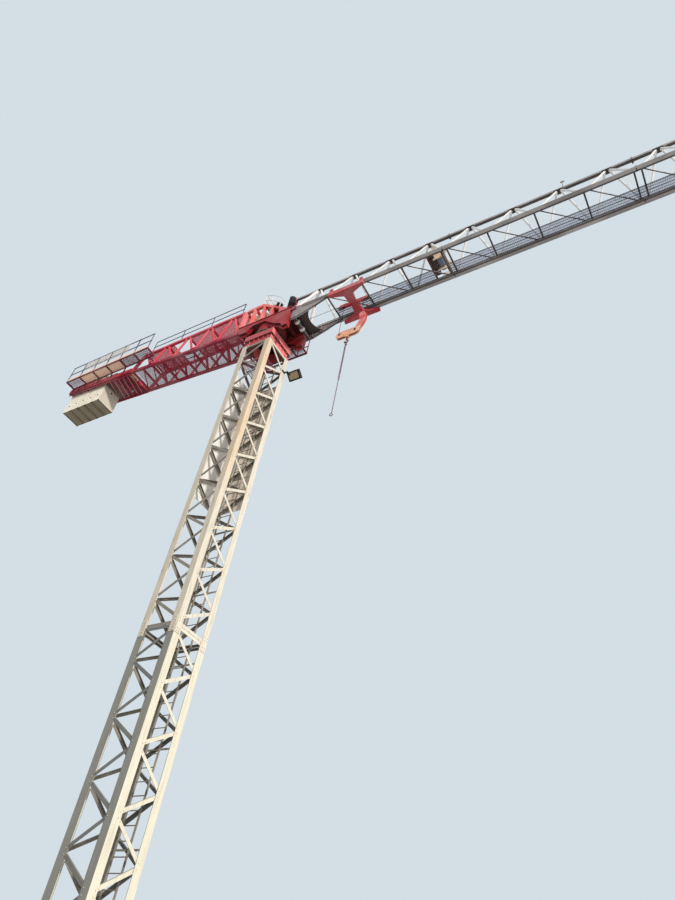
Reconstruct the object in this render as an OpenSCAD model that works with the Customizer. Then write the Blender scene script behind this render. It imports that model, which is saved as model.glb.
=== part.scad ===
// Flat-top tower crane: a square lattice mast, a slewing turret, a tapering
// counter-jib with concrete ballast, and a triangular lattice jib that carries
// a trolley, a two-fall hook block and a chain sling.
// Millimetres, +Z up. The origin is the middle of the mast on the ground and
// the jib points along +X. Left is +Y and right is -Y.

/* [Mast] */
// Outer width of the square mast
mast_w = 1200; // [1100:10:1500]
// Height of the two mast zigzags from one crossing to the next
mast_step = 690; // [600:10:760]
// Number of zigzag bars on a side of the lower mast
lower_bars = 13; // [9:2:15]
// Number of zigzag bars on a side of the upper mast
upper_bars = 16; // [10:2:18]
// Leg width of the lower corner angles
lower_leg = 220; // [160:10:240]
// Leg width of the upper corner angles
upper_leg = 200; // [150:10:220]
// Thickness of the corner angles
leg_t = 14; // [10:1:20]
// Width of the zigzag bars
bar_w = 85; // [50:5:100]
// Height of the foundation frame
base_h = 350; // [250:10:500]
// Reach of each foot plate outside the mast
foot_out = 240; // [150:10:400]

/* [Slewing] */
// Height of the box beams that carry the slewing ring
support_h = 580; // [480:10:700]
// Overhang of the support frame outside the mast
support_out = 10; // [5:1:60]
// Height of the support frame's upper band
support_band = 260; // [200:10:320]
// Outer radius of the slewing ring over its teeth
ring_r = 590; // [500:5:640]
// Height of the fixed toothed ring
ring_h = 110; // [80:5:160]
// Number of teeth on the slewing ring
ring_teeth = 72; // [48:4:96]
// Running gap between the two rings
ring_gap = 0.3; // [0.2:0.1:1]
// Height of the turret's two lengthwise box beams
turret_h = 600; // [540:10:700]
// Half the length of the turret beams
turret_half = 1180; // [1050:10:1300]
// Height of the turret frame above its beams
head_h = 1180; // [900:10:1400]

/* [Jib] */
// Distance between the middles of the two bottom chords
jib_w = 1040; // [960:10:1100]
// Height of the top chord over the bottom chords
jib_h = 1640; // [1300:10:1800]
// Length of one bay
bay = 1500; // [1300:10:1700]
// Side of the square bottom chords
chord = 120; // [90:5:130]
// Side of the square top chord
top_chord = 100; // [70:5:120]
// Diameter of the side bars
side_bar_d = 72; // [40:2:80]
// Diameter of the floor bars
floor_bar_d = 40; // [25:1:60]
// Width of the rail lip on each bottom chord
rail_w = 50; // [45:5:70]

/* [Counter-jib] */
// Distance between the middles of its two sides
cj_w = 1080; // [1000:10:1200]
// Length from the turret to the rear frame
cj_len = 5700; // [4800:100:6600]
// Rise of the bottom chords towards the rear
cj_rise = 460; // [200:10:600]
// Side of the square chords
cj_chord = 100; // [80:5:120]
// Height of the bottom chords
cj_low_chord = 130; // [100:5:160]
// Length of the rear frame
rear_len = 3800; // [3500:50:4200]
// Number of ballast slabs
slabs = 5; // [3:1:7]
// Thickness of one ballast slab
slab_t = 405; // [250:5:430]
// Gap between neighbouring slabs
slab_gap = 28; // [10:2:40]
// Width of a ballast slab
slab_w = 846; // [700:2:900]
// Height of a ballast slab
slab_h = 1410; // [1100:10:1500]
// Width of the side walkway
walk_w = 460; // [400:10:700]
// Height of the hand rails over the walkway
rail_h = 900; // [800:10:1000]

/* [Trolley and hook] */
// Place of the trolley along the jib
trolley_x = 3500; // [3400:10:6000]
// Distance between the trolley's axles
wheel_base = 1180; // [900:10:1400]
// Diameter of the trolley wheels
wheel_d = 130; // [100:5:160]
// Gap between the wheel tread and the rail
wheel_gap = 0.3; // [0.2:0.1:1]
// Distance between the two rope falls
fall_gap = 760; // [640:10:860]
// Diameter of the rope sheaves
sheave_d = 260; // [200:10:320]
// Diameter of the ropes
rope_d = 14; // [8:1:18]
// Drop from the trolley sheaves to the hook block sheaves
hook_drop = 1750; // [1500:10:2500]
// Length of the chain sling
sling_len = 3400; // [2400:50:4000]
// Length of its two upper legs
sling_split = 1750; // [1200:50:2000]

/* [Hidden] */

red = "firebrick";
grey = [0.42, 0.41, 0.40];
cream = [0.90, 0.86, 0.76];
beige = [0.80, 0.70, 0.57];

seat_gap = 0.3;                        // gap where one piece only rests on another

// Heights up the tower
half = mast_w / 2;
bar_t = 60;                            // depth of the zigzag bars
bar_skin = 9;                          // wall of the zigzag angle bars
bar_end = 100;                         // distance of a bar's end from the mast corner
end_gap = 130;                         // from a section's end to its first crossing
joint_z = base_h + 2 * end_gap + lower_bars * mast_step;
head_gap = 740;                        // last crossing under the mast top
mast_top = joint_z + end_gap + 60 + (upper_bars - 1) * mast_step + head_gap;
ring_z = mast_top + support_h;
turret_z = ring_z + ring_h + 90;       // underside of the turret beams
jib_z = turret_z + turret_h - 40;      // middle of the bottom chords
turret_top = turret_z + turret_h;
head_z = turret_top + head_h;
apex_z = jib_z + jib_h;

// Lengths along the jib
foot_x = turret_half + 70;              // rear end of the jib foot
pin_x = foot_x + 70;
x0 = 1030;                             // first crossing of the jib floor
x1 = x0 + 4 * bay;                     // end of the inner section
x2 = x1 + 4 * bay;                     // end of the middle section
x3 = x2 + 6 * bay;                     // end of the outer section
joint_gap = 0.3;                       // gap between two pinned jib sections
node_gap = 50;                         // from a crossing to the end of a side bar
bar_foot = 140;                        // from a lower crossing to a rising bar's foot
strut_d = 130;                         // diameter of the two struts over the jib foot
strut_z = 130;                         // height of their feet over the chords
rail_t = 16;                           // thickness of the rail lip
rail_top = jib_z - chord / 2 + rail_t;
rail_y = jib_w / 2 + chord / 2;        // outer face of a bottom chord
winch_x = x1 - 620;                    // rear of the trolley winch

// Counter-jib
cj_x = -turret_half;                   // front end
cj_end = cj_x - cj_len;                // front of the rear frame
cj_low = jib_z - 150;                  // bottom chords at the turret
cj_top = head_z - cj_chord / 2;        // middle of the top chords
cj_bays = 5;
cj_bar_d = 96;
cj_post = 100;                          // width of the end post at the turret
strut_run = 400;                       // lean of the rear strut
strut_w = 120;                         // width of the rear strut along X
cj_bay = cj_len / cj_bays;
rear_beam = 270;                       // height of the rear frame's beams
rear_t = 120;                          // width of the rear frame's beams
rear_end = cj_end - rear_len;
// The bottom chords and the rear frame's beams rise in one line
function cj_bottom(x) = cj_low + cj_rise * (cj_x - x) / cj_len;
function beam_low(x) = cj_bottom(x) - cj_low_chord / 2;
function beam_top(x) = beam_low(x) + rear_beam;
slab_x = rear_end + 70;                // rear face of the ballast
slab_end = slab_x + slabs * slab_t + (slabs - 1) * slab_gap;
slab_top = beam_top(slab_x) + 70;
walk_t = 70;                           // height of the walkway's frame
walk_z = beam_top(rear_end) - walk_t;

// Trolley
frame_z = jib_z - chord / 2 - 150;     // middle of the trolley frame
wheel_z = rail_top + wheel_gap + wheel_d / 2;
wheel_w = 36;
sheave_z = frame_z - 20;
block_z = sheave_z - hook_drop;
block_sheave_d = 200;
cheek_y = 34;                          // inner faces of the cheeks beside a sheave
rope_play = seat_gap;                  // gap under the rope in its groove
groove = 1.5 * rope_d;                 // depth of a sheave's groove
sheave_w = 46;
// Distance from a sheave's axis to the middle of its rope
function rope_r(d) = d / 2 - groove + rope_d / 2 + rope_play;
trolley_sheave_x = fall_gap / 2 + rope_r(sheave_d);
block_sheave_x = fall_gap / 2 - rope_r(block_sheave_d);
rope_z = sheave_z + rope_r(sheave_d);  // run of the rope over the trolley sheaves
swivel_gap = 0.3;                      // running gap over the hook's shank
hook_z = block_z - 420;
arm_h = 930;                           // height of the block's arm over its sheaves
cheek_h = 300;                         // height of the block's cheeks

// A square bar from a to b
module beam(a, b, w, h) {
    d = b - a;
    translate(a)
        rotate([0, acos(d.z / norm(d)), atan2(d.y, d.x)])
            translate([-h / 2, -w / 2, 0]) cube([h, w, norm(d)]);
}

// A round bar from a to b with few sides
module rod(a, b, d, sides = 8) {
    v = b - a;
    translate(a)
        rotate([0, acos(v.z / norm(v)), atan2(v.y, v.x)])
            cylinder(d = d, h = norm(v), $fn = sides);
}

// An upright corner angle whose legs point to +X and +Y
module angle(h, a, t) {
    linear_extrude(h) polygon([[0, 0], [a, 0], [a, t], [t, t], [t, a], [0, a]]);
}

// Flat strip from a to b in the plane, moved aside by off
module strip(a, b, w, off = 0) {
    d = b - a;
    translate(a) rotate(atan2(d.y, d.x)) translate([0, off - w / 2]) square([norm(d), w]);
}

// Zigzag strips between u = -half and u = +half, clipped to the bar ends
module zigzag(n, z_first, side, w, off, z_low, z_high) {
    intersection() {
        for (i = [0 : n - 1]) {
            s = (i % 2 == 0) ? side : -side;
            strip([-s * (half - 70), z_first + i * mast_step],
                  [s * (half - 70), z_first + (i + 1) * mast_step], w, s * off);
        }
        translate([-half + bar_end, z_low]) square([mast_w - 2 * bar_end, z_high - z_low]);
    }
}

// One face of bracing, lying on y = 0 and reaching bar_t towards +Y
module face_bracing(n, z_first, side, z_low, z_high) {
    u = half - bar_end;
    rotate([90, 0, 0]) mirror([0, 0, 1]) {
        linear_extrude(bar_skin) zigzag(n, z_first, side, bar_w, 0, z_low, z_high);
        linear_extrude(bar_t)
            zigzag(n, z_first, side, bar_skin, (bar_w - bar_skin) / 2, z_low, z_high);
        for (z = [z_low + bar_w / 2, z_high - bar_w / 2]) {
            linear_extrude(bar_skin) strip([-u, z], [u, z], bar_w);
            linear_extrude(bar_t) strip([-u, z], [u, z], bar_skin);
        }
    }
}

// A side with its two corner angles, standing at y = -half
module mast_side(n, z_first, side, z_low, z_high, leg) {
    translate([0, -half, 0]) {
        translate([-half, 0, z_low]) angle(z_high - z_low, leg, leg_t);
        translate([half, 0, z_low]) rotate([0, 0, 90]) angle(z_high - z_low, leg, leg_t);
        translate([0, leg_t, 0]) face_bracing(n, z_first, side, z_low + 6, z_high - 6);
    }
}

module mast_bracing(n, z_first, side, z_low, z_high) {
    rotate([0, 0, 90]) translate([0, -half + leg_t, 0])
        face_bracing(n, z_first, side, z_low + 6, z_high - 6);
}

low_first = base_h + end_gap;
up_first = joint_z + end_gap + 60;

// The four faces take turns, so every corner has its crossings at one level
module lower_mast_right_side() {
    color(cream) mast_side(lower_bars, low_first, 1, base_h, joint_z, lower_leg);
}
module lower_mast_left_side() {
    color(cream) rotate([0, 0, 180]) mast_side(lower_bars, low_first, 1, base_h, joint_z, lower_leg);
}
module lower_mast_front_bracing() {
    color(cream) mast_bracing(lower_bars, low_first, -1, base_h, joint_z);
}
module lower_mast_rear_bracing() {
    color(cream) rotate([0, 0, 180]) mast_bracing(lower_bars, low_first, -1, base_h, joint_z);
}
module upper_mast_right_side() {
    color(beige) mast_side(upper_bars, up_first, -1, joint_z, mast_top, upper_leg);
}
module upper_mast_left_side() {
    color(beige) rotate([0, 0, 180]) mast_side(upper_bars, up_first, -1, joint_z, mast_top, upper_leg);
}
module upper_mast_front_bracing() {
    color(beige) mast_bracing(upper_bars, up_first, 1, joint_z, mast_top);
}
module upper_mast_rear_bracing() {
    color(beige) rotate([0, 0, 180]) mast_bracing(upper_bars, up_first, 1, joint_z, mast_top);
}

// Four bolted foot plates with gussets, joined by box beams and a flat cross on the ground
foot_side = lower_leg + foot_out + 60;
anchor_d = 42;
cross_w = 200;                         // width of the crossed ground beams
module base_frame() {
    plate = 40;
    color(cream) difference() {
        union() {
            for (sx = [-1, 1], sy = [-1, 1]) translate([sx * half, sy * half, 0]) {
                translate([-sx * (lower_leg + 60 - foot_side / 2) - foot_side / 2,
                           -sy * (lower_leg + 60 - foot_side / 2) - foot_side / 2, 0])
                    cube([foot_side, foot_side, plate]);
                translate([-sx * lower_leg / 2 - lower_leg / 2, -sy * lower_leg / 2 - lower_leg / 2, 0])
                    cube([lower_leg, lower_leg, base_h]);
                rotate([0, 0, (sx > 0) ? 0 : 180]) rotate([90, 0, 0])
                    translate([0, 0, sx * sy * lower_leg / 2 - 10]) linear_extrude(20)
                        polygon([[0, 0], [foot_out - 30, 0], [foot_out - 30, plate + 40],
                                 [40, base_h - 60], [0, base_h - 60]]);
            }
            for (a = [0 : 90 : 270]) rotate([0, 0, a])
                translate([-half, -half + lower_leg / 2 - 80, plate])
                    cube([mast_w, 160, 180]);
            for (a = [-45, 45]) rotate([0, 0, a])
                translate([-half * sqrt(2), -cross_w / 2, 0]) cube([mast_w * sqrt(2), cross_w, 160]);
        }
        for (sx = [-1, 1], sy = [-1, 1], k = [0, 1])
            translate([sx * (half + foot_out - 70 - k * (foot_side - 140)),
                       sy * (half + foot_out - 70), -1])
                cylinder(d = anchor_d, h = plate + 2, $fn = 32);
    }
}

// Ladder inside the mast, on the left side
ladder_w = 400;
ladder_y = half - leg_t - bar_t - 60;
rung_step = 300;
tie_step = 3 * mast_step;              // from one ladder tie to the next
module mast_ladder() {
    z_low = base_h + 150;
    z_high = mast_top - 150;
    rungs = floor((z_high - z_low - 100) / rung_step);
    color("silver") {
        for (s = [-1, 1])
            beam([s * ladder_w / 2, ladder_y, z_low], [s * ladder_w / 2, ladder_y, z_high], 50, 20);
        for (i = [0 : rungs])
            translate([0, ladder_y, z_low + 100 + i * rung_step]) rotate([0, 90, 0])
                cylinder(d = 26, h = ladder_w, center = true, $fn = 6);
        for (z = [z_low + 300 : tie_step : z_high]) {
            translate([seat_gap + leg_t - half, half - bar_end + 4, z - 20])
                cube([2 * (half - leg_t - seat_gap), 20, 40]);
            for (s = [-1, 1])
                translate([s * ladder_w / 2 - 10, ladder_y, z - 20])
                    cube([20, half - bar_end + 4 - ladder_y, 40]);
        }
    }
}

// Blank boards behind the rear and the left side
board_from = 4500;                     // height of the boards over the joint of the mast
board_z = joint_z + board_from;
board_h = 5500;
board_w = mast_w - 2 * upper_leg - 40;
board_t = 20;
module board() {
    translate([-board_w / 2, -half - 30 - board_t, board_z]) cube([board_w, board_t, board_h]);
    for (z = [board_z + 300, board_z + board_h - 300])
        translate([-half + 20, -half - 30, z - 30]) cube([mast_w - 40, 30, 60]);
}
module rear_board() { color("ivory") rotate([0, 0, -90]) board(); }
module left_board() { color("ivory") rotate([0, 0, 180]) board(); }

// Floodlight on a bracket outside the front left corner
light_z = mast_top - 690;
light_tilt = 53;
module floodlight() {
    color([0.12, 0.12, 0.13]) {
        translate([half, half - upper_leg + 20, light_z - 30]) cube([30, upper_leg - 40, 60]);
        translate([half + 20, half - 60, light_z - 20]) cube([140, 40, 40]);
        translate([half + 120, half - 60, light_z - 20]) cube([40, 290, 40]);
        translate([half + 290, half + 200, light_z]) rotate([light_tilt, 0, 0]) {
            difference() {
                translate([-240, -70, -170]) cube([480, 140, 340]);
                translate([-215, -71, -145]) cube([430, 41, 290]);
            }
            for (i = [-5 : 5]) translate([i * 40 - 5, 60, -150]) cube([10, 40, 290]);
        }
    }
}

// Square frame on the mast top: box beams over walls that stand back, on four shoes
support_side = mast_w + 2 * support_out;
support_b = 240;                       // width of the upper box beams
support_recess = 80;                   // setback of the lower walls
module support_frame() {
    w = support_side / 2;
    v = w - support_recess;
    shoe = upper_leg + 20;
    color(red) difference() {
        union() {
            translate([-w, -w, ring_z - support_band]) cube([2 * w, 2 * w, support_band]);
            translate([-v, -v, mast_top + 30]) cube([2 * v, 2 * v, support_h - support_band]);
            for (sx = [-1, 1], sy = [-1, 1])
                translate([sx * (half - shoe / 2) - shoe / 2, sy * (half - shoe / 2) - shoe / 2, mast_top])
                    cube([shoe, shoe, 90]);
        }
        translate([-w + support_b, -w + support_b, mast_top - 1])
            cube([2 * (w - support_b), 2 * (w - support_b), support_h - 59]);
        translate([0, 0, mast_top]) cylinder(r = ring_r - 150, h = support_h + 1, $fn = 64);
    }
}

// Fixed ring with a tooth for every pitch
tooth_h = 26;
race_r = ring_r - 90;                  // bore of the fixed ring
module ring_gear() {
    p = 360 / ring_teeth;
    root = ring_r - tooth_h;
    color("dimgray") translate([0, 0, ring_z]) linear_extrude(ring_h) difference() {
        polygon([for (i = [0 : ring_teeth - 1], k = [0 : 3])
            let (a = i * p + [-0.31, -0.14, 0.14, 0.31][k] * p, r = [root, ring_r, ring_r, root][k])
            [r * cos(a), r * sin(a)]]);
        circle(r = race_r, $fn = 96);
    }
}

// Turning ring: a spigot in the fixed ring and a flange over it
module slewing_ring() {
    color("dimgray") translate([0, 0, ring_z + 20]) rotate_extrude($fn = 96)
        polygon([[race_r - 70, 0], [race_r - ring_gap, 0], [race_r - ring_gap, ring_h - 20 + ring_gap],
                 [ring_r + 20, ring_h - 20 + ring_gap], [ring_r + 20, ring_h + 40],
                 [ring_r - 30, ring_h + 70], [race_r - 70, ring_h + 70]]);
}

// Two beams that arch over the ring and end in deep knees, joined by a drum,
// cross walls and a deck
turret_beam = 200;
turret_y = jib_w / 2;
arch_z = turret_top - 150;
knee_z = ring_z - 140;
drum_r = ring_r - 40;
lug_t = 30;
pin_d = 60;
module turret_profile() {
    r = turret_half;
    polygon([[-r, turret_top], [-r, arch_z], [-r + 120, turret_z + 200], [-r + 460, turret_z + 170],
             [-r + 600, arch_z - 90], [-r + 740, arch_z], [100, arch_z - 20], [330, turret_z + 220],
             [600, turret_z + 10], [r - 280, ring_z + 60], [r - 200, knee_z], [r, knee_z],
             [r, turret_top]]);
}
module turret_frame() {
    y = turret_y - turret_beam / 2;
    color(red) {
        for (s = [-1, 1])
            translate([0, s * turret_y - turret_beam / 2, 0]) rotate([90, 0, 0]) mirror([0, 0, 1])
                linear_extrude(turret_beam) turret_profile();
        translate([0, 0, turret_z]) difference() {
            cylinder(r = drum_r, h = turret_h - 20, $fn = 64);
            translate([0, 0, -1]) cylinder(r = drum_r - 60, h = turret_h - 80, $fn = 64);
        }
        for (x = [-turret_half + 140, -turret_half + 400])
            translate([x, -y - 10, turret_z + 220]) cube([60, 2 * y + 20, turret_h - 240]);
        translate([turret_half - 460, -y - 10, turret_top - 260]) cube([60, 2 * y + 20, 240]);
        translate([turret_half - 60, -y - 10, jib_z - 230]) cube([60, 2 * y + 20, 220]);
        translate([-turret_half, -y - 10, turret_top - 30]) cube([2 * turret_half, 2 * y + 20, 30]);
        for (s = [-1, 1], k = [-1, 1])
            translate([turret_half - 1, s * turret_y + k * (lug_t / 2 + 45) - lug_t / 2, 0])
                rotate([90, 0, 0]) mirror([0, 0, 1]) linear_extrude(lug_t) difference() {
                    union() {
                        translate([0, jib_z - 90]) square([pin_x - turret_half + 1, 180]);
                        translate([pin_x - turret_half + 1, jib_z]) circle(d = 180, $fn = 48);
                    }
                    translate([pin_x - turret_half + 1, jib_z]) circle(d = pin_d, $fn = 48);
                }
    }
}

// Head: a ribbed casing on each side, round at the rear and sloping to the
// front, and two lugs that hold the tie of the top chord
head_t = 120;
head_r = 260;
slope_x = -300;                        // start of the slope
tie_x = 650;
tie_z = apex_z;
tie_eye = 150;
tie_w = 80;
function head_line(x) = head_z - max(0, x - slope_x) * (head_h - 60) / (turret_half - 60 - slope_x);
module head_side() {
    low = turret_top + 110;
    x = turret_half - 60;
    difference() {
        polygon(concat([[-turret_half, turret_top]],
            [for (a = [180 : -15 : 90]) [head_r - turret_half + head_r * cos(a), head_z - head_r + head_r * sin(a)]],
            [[slope_x, head_z], [x, head_line(x)], [x, turret_top]]));
        for (w = [[-1060, -740], [-640, -270], [-170, 180], [280, 600]])
            polygon([[w[0], low], [w[0], head_line(w[0]) - 130], [w[1], head_line(w[1]) - 130], [w[1], low]]);
    }
}
module turret_head() {
    y = cj_w / 2;
    color(red) {
        for (s = [-1, 1])
            translate([0, s * y - head_t / 2, 0]) rotate([90, 0, 0]) mirror([0, 0, 1])
                linear_extrude(head_t) head_side();
        for (x = [-1150, -740, -270])
            translate([x, -y, head_z - 130]) cube([100, 2 * y, 110]);
        for (s = [-1, 1])
            translate([0, s * (tie_w / 2 + 20) - 15, 0]) rotate([90, 0, 0]) mirror([0, 0, 1])
                linear_extrude(30) polygon([[tie_x - 300, turret_top], [tie_x + 200, turret_top],
                    [tie_x + 90, tie_z + 90], [tie_x - 90, tie_z + 90]]);
        translate([tie_x, 0, tie_z]) rotate([90, 0, 0])
            cylinder(d = pin_d, h = tie_w + 100, center = true, $fn = 40);
    }
}

// Two upright gear motors on the right half of the turret deck
drive_y = cj_w / 2 - head_t / 2 - 130;
module slewing_drives() {
    for (x = [280, 880]) translate([x, -drive_y, turret_top]) {
        color(red) cylinder(d = 240, h = 420, $fn = 40);
        color([0.1, 0.1, 0.11]) translate([0, 0, 420]) cylinder(d = 200, h = 60, $fn = 40);
        color([0.1, 0.1, 0.11]) translate([0, 0, 480]) cylinder(d = 230, h = 520, $fn = 40);
        color([0.1, 0.1, 0.11]) translate([0, 0, 1000]) cylinder(d = 250, h = 120, $fn = 40);
    }
}

// Cabinets on the turret deck
module control_cabinets() {
    color(beige) {
        translate([-900, -360, turret_top]) cube([620, 340, 900]);
        translate([-900, 20, turret_top]) cube([620, 340, 760]);
    }
}

// Tubular rails that follow the slope of the head, as pairs of place and height
function cage_point(p, y, k) = [p[0], y, head_line(p[0]) + k * p[1]];
module guard_cage() {
    d = 34;
    y = cj_w / 2;
    posts = [[-350, 660], [20, 710], [500, 620], [790, 380]];
    color("white") {
        for (s = [-1, 1]) {
            for (p = posts)
                rod([p[0], s * y, head_line(p[0] - d / 2) + seat_gap], cage_point(p, s * y, 1), d);
            for (i = [0 : 2], k = [0.5, 1])
                rod(cage_point(posts[i], s * y, k), cage_point(posts[i + 1], s * y, k), d);
        }
        for (k = [0.5, 1]) rod(cage_point(posts[0], -y, k), cage_point(posts[0], y, k), d);
    }
}

// Mesh platform at the left front of the turret with its stanchions
plat_z = turret_z - 40;
plat_y = turret_y + turret_beam / 2;
module service_platform() {
    l = 900;
    w = 420;
    x = 100;
    color(red) {
        for (k = [0, 1]) translate([x, plat_y + k * (w - 50), plat_z]) cube([l, 50, 60]);
        for (k = [0 : 2]) translate([x + k * (l - 50) / 2, plat_y, plat_z]) cube([50, w, 60]);
        for (k = [1 : 9]) translate([x, plat_y + k * w / 10 - 4, plat_z + 52]) cube([l, 8, 8]);
    }
    color("white") {
        for (k = [0, 0.5, 1])
            rod([x + 25 + k * (l - 50), plat_y + w - 25, plat_z], [x + 25 + k * (l - 50), plat_y + w - 25, plat_z + rail_h], 34);
        for (z = [0.5, 1])
            rod([x, plat_y + w - 25, plat_z + z * rail_h], [x + l, plat_y + w - 25, plat_z + z * rail_h], 34);
    }
}

// One side of the counter-jib at y = 0: two chords and a zigzag
module counter_jib_side() {
    c = cj_chord / 2;
    b = cj_low_chord / 2;
    rotate([90, 0, 0]) linear_extrude(cj_chord, center = true) difference() {
        polygon([[cj_x, beam_low(cj_x)], [cj_x, cj_top + c], [cj_end + strut_run, cj_top + c],
                 [cj_end, cj_bottom(cj_end) + b], [cj_end, beam_low(cj_end)]]);
        polygon([[cj_x - cj_post, cj_bottom(cj_x - cj_post) + b], [cj_x - cj_post, cj_top - c],
                 [cj_end + strut_run + strut_w, cj_top - c],
                 [cj_end + strut_w, cj_bottom(cj_end + strut_w) + b]]);
    }
    for (i = [0 : cj_bays - 1]) {
        xa = cj_x - i * cj_bay;
        xm = xa - cj_bay / 2;
        xb = xa - cj_bay;
        rod([xa - node_gap, 0, cj_bottom(xa)], [xm + node_gap, 0, cj_top], cj_bar_d);
        if (i < cj_bays - 1)
            rod([xm - node_gap, 0, cj_top], [xb + node_gap, 0, cj_bottom(xb)], cj_bar_d);
    }
}
module counter_jib_left_side() { color(red) translate([0, cj_w / 2, 0]) counter_jib_side(); }
module counter_jib_right_side() { color(red) translate([0, -cj_w / 2, 0]) counter_jib_side(); }

// Cross bars and diagonals between the bottom chords, two of each in a bay
module counter_jib_floor() {
    y = cj_w / 2 - cj_chord / 2;
    step = (cj_len - 240) / (2 * cj_bays);
    color(red) for (i = [0 : 2 * cj_bays]) {
        xa = cj_x - 120 - i * step;
        xb = xa - step;
        beam([xa, -y, cj_bottom(xa)], [xa, y, cj_bottom(xa)], 70, 60);
        if (i < 2 * cj_bays) rod([xa, -y + 40, cj_bottom(xa)], [xb, y - 40, cj_bottom(xb)], 46);
    }
}
module counter_jib_top_bracing() {
    y = cj_w / 2 - cj_chord / 2;
    color(red) for (i = [0 : cj_bays - 1]) {
        x = cj_x - (i + 0.5) * cj_bay;
        beam([x, -y, cj_top], [x, y, cj_top], 70, 60);
    }
}

// Rising side beams and the cross beams on both sides of the ballast
module rear_frame() {
    y = cj_w / 2 - rear_t / 2;
    color(red) {
        for (s = [-1, 1])
            translate([0, s * cj_w / 2 - rear_t / 2, 0]) rotate([90, 0, 0]) mirror([0, 0, 1])
                linear_extrude(rear_t) polygon([[rear_end, beam_low(rear_end)], [cj_end, beam_low(cj_end)],
                    [cj_end, beam_top(cj_end)], [rear_end, beam_top(rear_end)]]);
        for (x = [rear_end, slab_end + 40, cj_end - 160])
            translate([x, -y - 10, beam_low(x) + 40]) cube([60, 2 * y + 20, rear_beam - 80]);
    }
}

// Walkway along the right side: mesh, three plates, an open cell and mesh
walk_x = rear_end + 180;
walk_len = rear_len + 1000;
walk_y = -cj_w / 2 - rear_t / 2 - walk_w;
walk_cells = 6;
module side_walkway() {
    c = walk_len / walk_cells;
    color([0.25, 0.08, 0.2]) {
        for (k = [0, 1])
            translate([walk_x, walk_y + k * (walk_w - 40), walk_z]) cube([walk_len, 40, walk_t]);
        for (i = [0 : walk_cells]) {
            x = walk_x + i * (walk_len - 40) / walk_cells;
            translate([x, walk_y, walk_z]) cube([40, walk_w, walk_t]);
            translate([x, walk_y + walk_w - 40, cj_bottom(x)]) cube([40, 40, walk_z + walk_t - cj_bottom(x)]);
        }
    }
    color(beige) for (i = [1 : 3])
        translate([walk_x + i * c, walk_y + 20, walk_z + 50]) cube([c, walk_w - 40, 15]);
    color("gray") for (i = [0, 5], k = [1 : 5])
        translate([walk_x + i * c, walk_y + k * walk_w / 6 - 4, walk_z + 52]) cube([c, 8, 12]);
}
module walkway_rail() {
    y = walk_y + 20;
    z = walk_z + walk_t;
    color([0.1, 0.15, 0.3]) {
        for (i = [0 : walk_cells]) {
            x = walk_x + 20 + i * (walk_len - 40) / walk_cells;
            rod([x, y, z], [x, y, z + rail_h], 40);
        }
        for (k = [0.5, 1]) rod([walk_x, y, z + k * rail_h], [walk_x + walk_len, y, z + k * rail_h], 40);
    }
}
module counter_jib_rail() {
    z = cj_top + cj_chord / 2;
    h = 700;
    color([0.15, 0.12, 0.18]) for (s = [-1, 1]) {
        for (i = [0 : 3]) {
            x = cj_x - 200 - i * (cj_len - 1000) / 3;
            rod([x, s * cj_w / 2, z], [x, s * cj_w / 2, z + h], 34);
        }
        for (k = [0.5, 1])
            rod([cj_x - 200, s * cj_w / 2, z + k * h], [cj_x + 800 - cj_len, s * cj_w / 2, z + k * h], 34);
    }
}

// Concrete slabs that hang by their ears on the side beams, level at top and bottom
module ballast_slabs() {
    hole = 90;
    color([0.85, 0.81, 0.72]) for (i = [0 : slabs - 1]) {
        x = slab_x + i * (slab_t + slab_gap);
        ear = slab_top - beam_top(x) - seat_gap;
        translate([x, 0, slab_top - slab_h]) rotate([90, 0, 90]) linear_extrude(slab_t) difference() {
            union() {
                translate([-slab_w / 2, 0]) square([slab_w, slab_h]);
                translate([-cj_w / 2 - 40, slab_h - ear]) square([cj_w + 80, ear]);
            }
            translate([0, slab_h * 0.55]) circle(d = hole, $fn = 32);
        }
    }
}

// Hoist winch between the front ends of the side beams
drum_d = 420;
drum_x = cj_end - 600;
drum_z = cj_bottom(drum_x) + 130;
cheek = 260;                           // distance of each cheek from the middle
module hoist_winch_frame() {
    z = cj_bottom(drum_x);
    y = cj_w / 2 - rear_t / 2;
    color(red) {
        for (s = [-1, 1])
            translate([drum_x, s * cheek - 15, 0]) rotate([90, 0, 0]) mirror([0, 0, 1]) linear_extrude(30)
                difference() {
                    polygon([[-340, z - 20], [340, z - 20], [340, z + 90], [150, drum_z + 130],
                             [-150, drum_z + 130], [-340, z + 90]]);
                    translate([0, drum_z]) circle(d = 90, $fn = 40);
                }
        for (k = [-1, 1]) translate([drum_x + k * 300 - 40, -y, z - 20]) cube([80, 2 * y, 110]);
    }
}
module hoist_drum() {
    color([0.35, 0.33, 0.3]) translate([drum_x, 0, drum_z]) rotate([90, 0, 0]) {
        cylinder(d = drum_d - 100, h = 2 * cheek - 60, center = true, $fn = 48);
        for (s = [-1, 1])
            translate([0, 0, s * (cheek - 40)]) cylinder(d = drum_d, h = 20, center = true, $fn = 48);
        cylinder(d = 89.4, h = 2 * cheek + 30, center = true, $fn = 40);
    }
}
module hoist_motor() {
    color([0.2, 0.2, 0.22]) translate([drum_x, 0, drum_z]) rotate([90, 0, 0]) {
        translate([0, 0, -cheek - 205]) cylinder(d = 260, h = 190, $fn = 40);
        translate([0, 0, cheek + 15]) cylinder(d = 240, h = 190, $fn = 40);
    }
}

// Jib cross section: places of the three chords
function jib_low(s, x) = [x, s * jib_w / 2, jib_z];
function jib_top(x) = [x, 0, apex_z];
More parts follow.
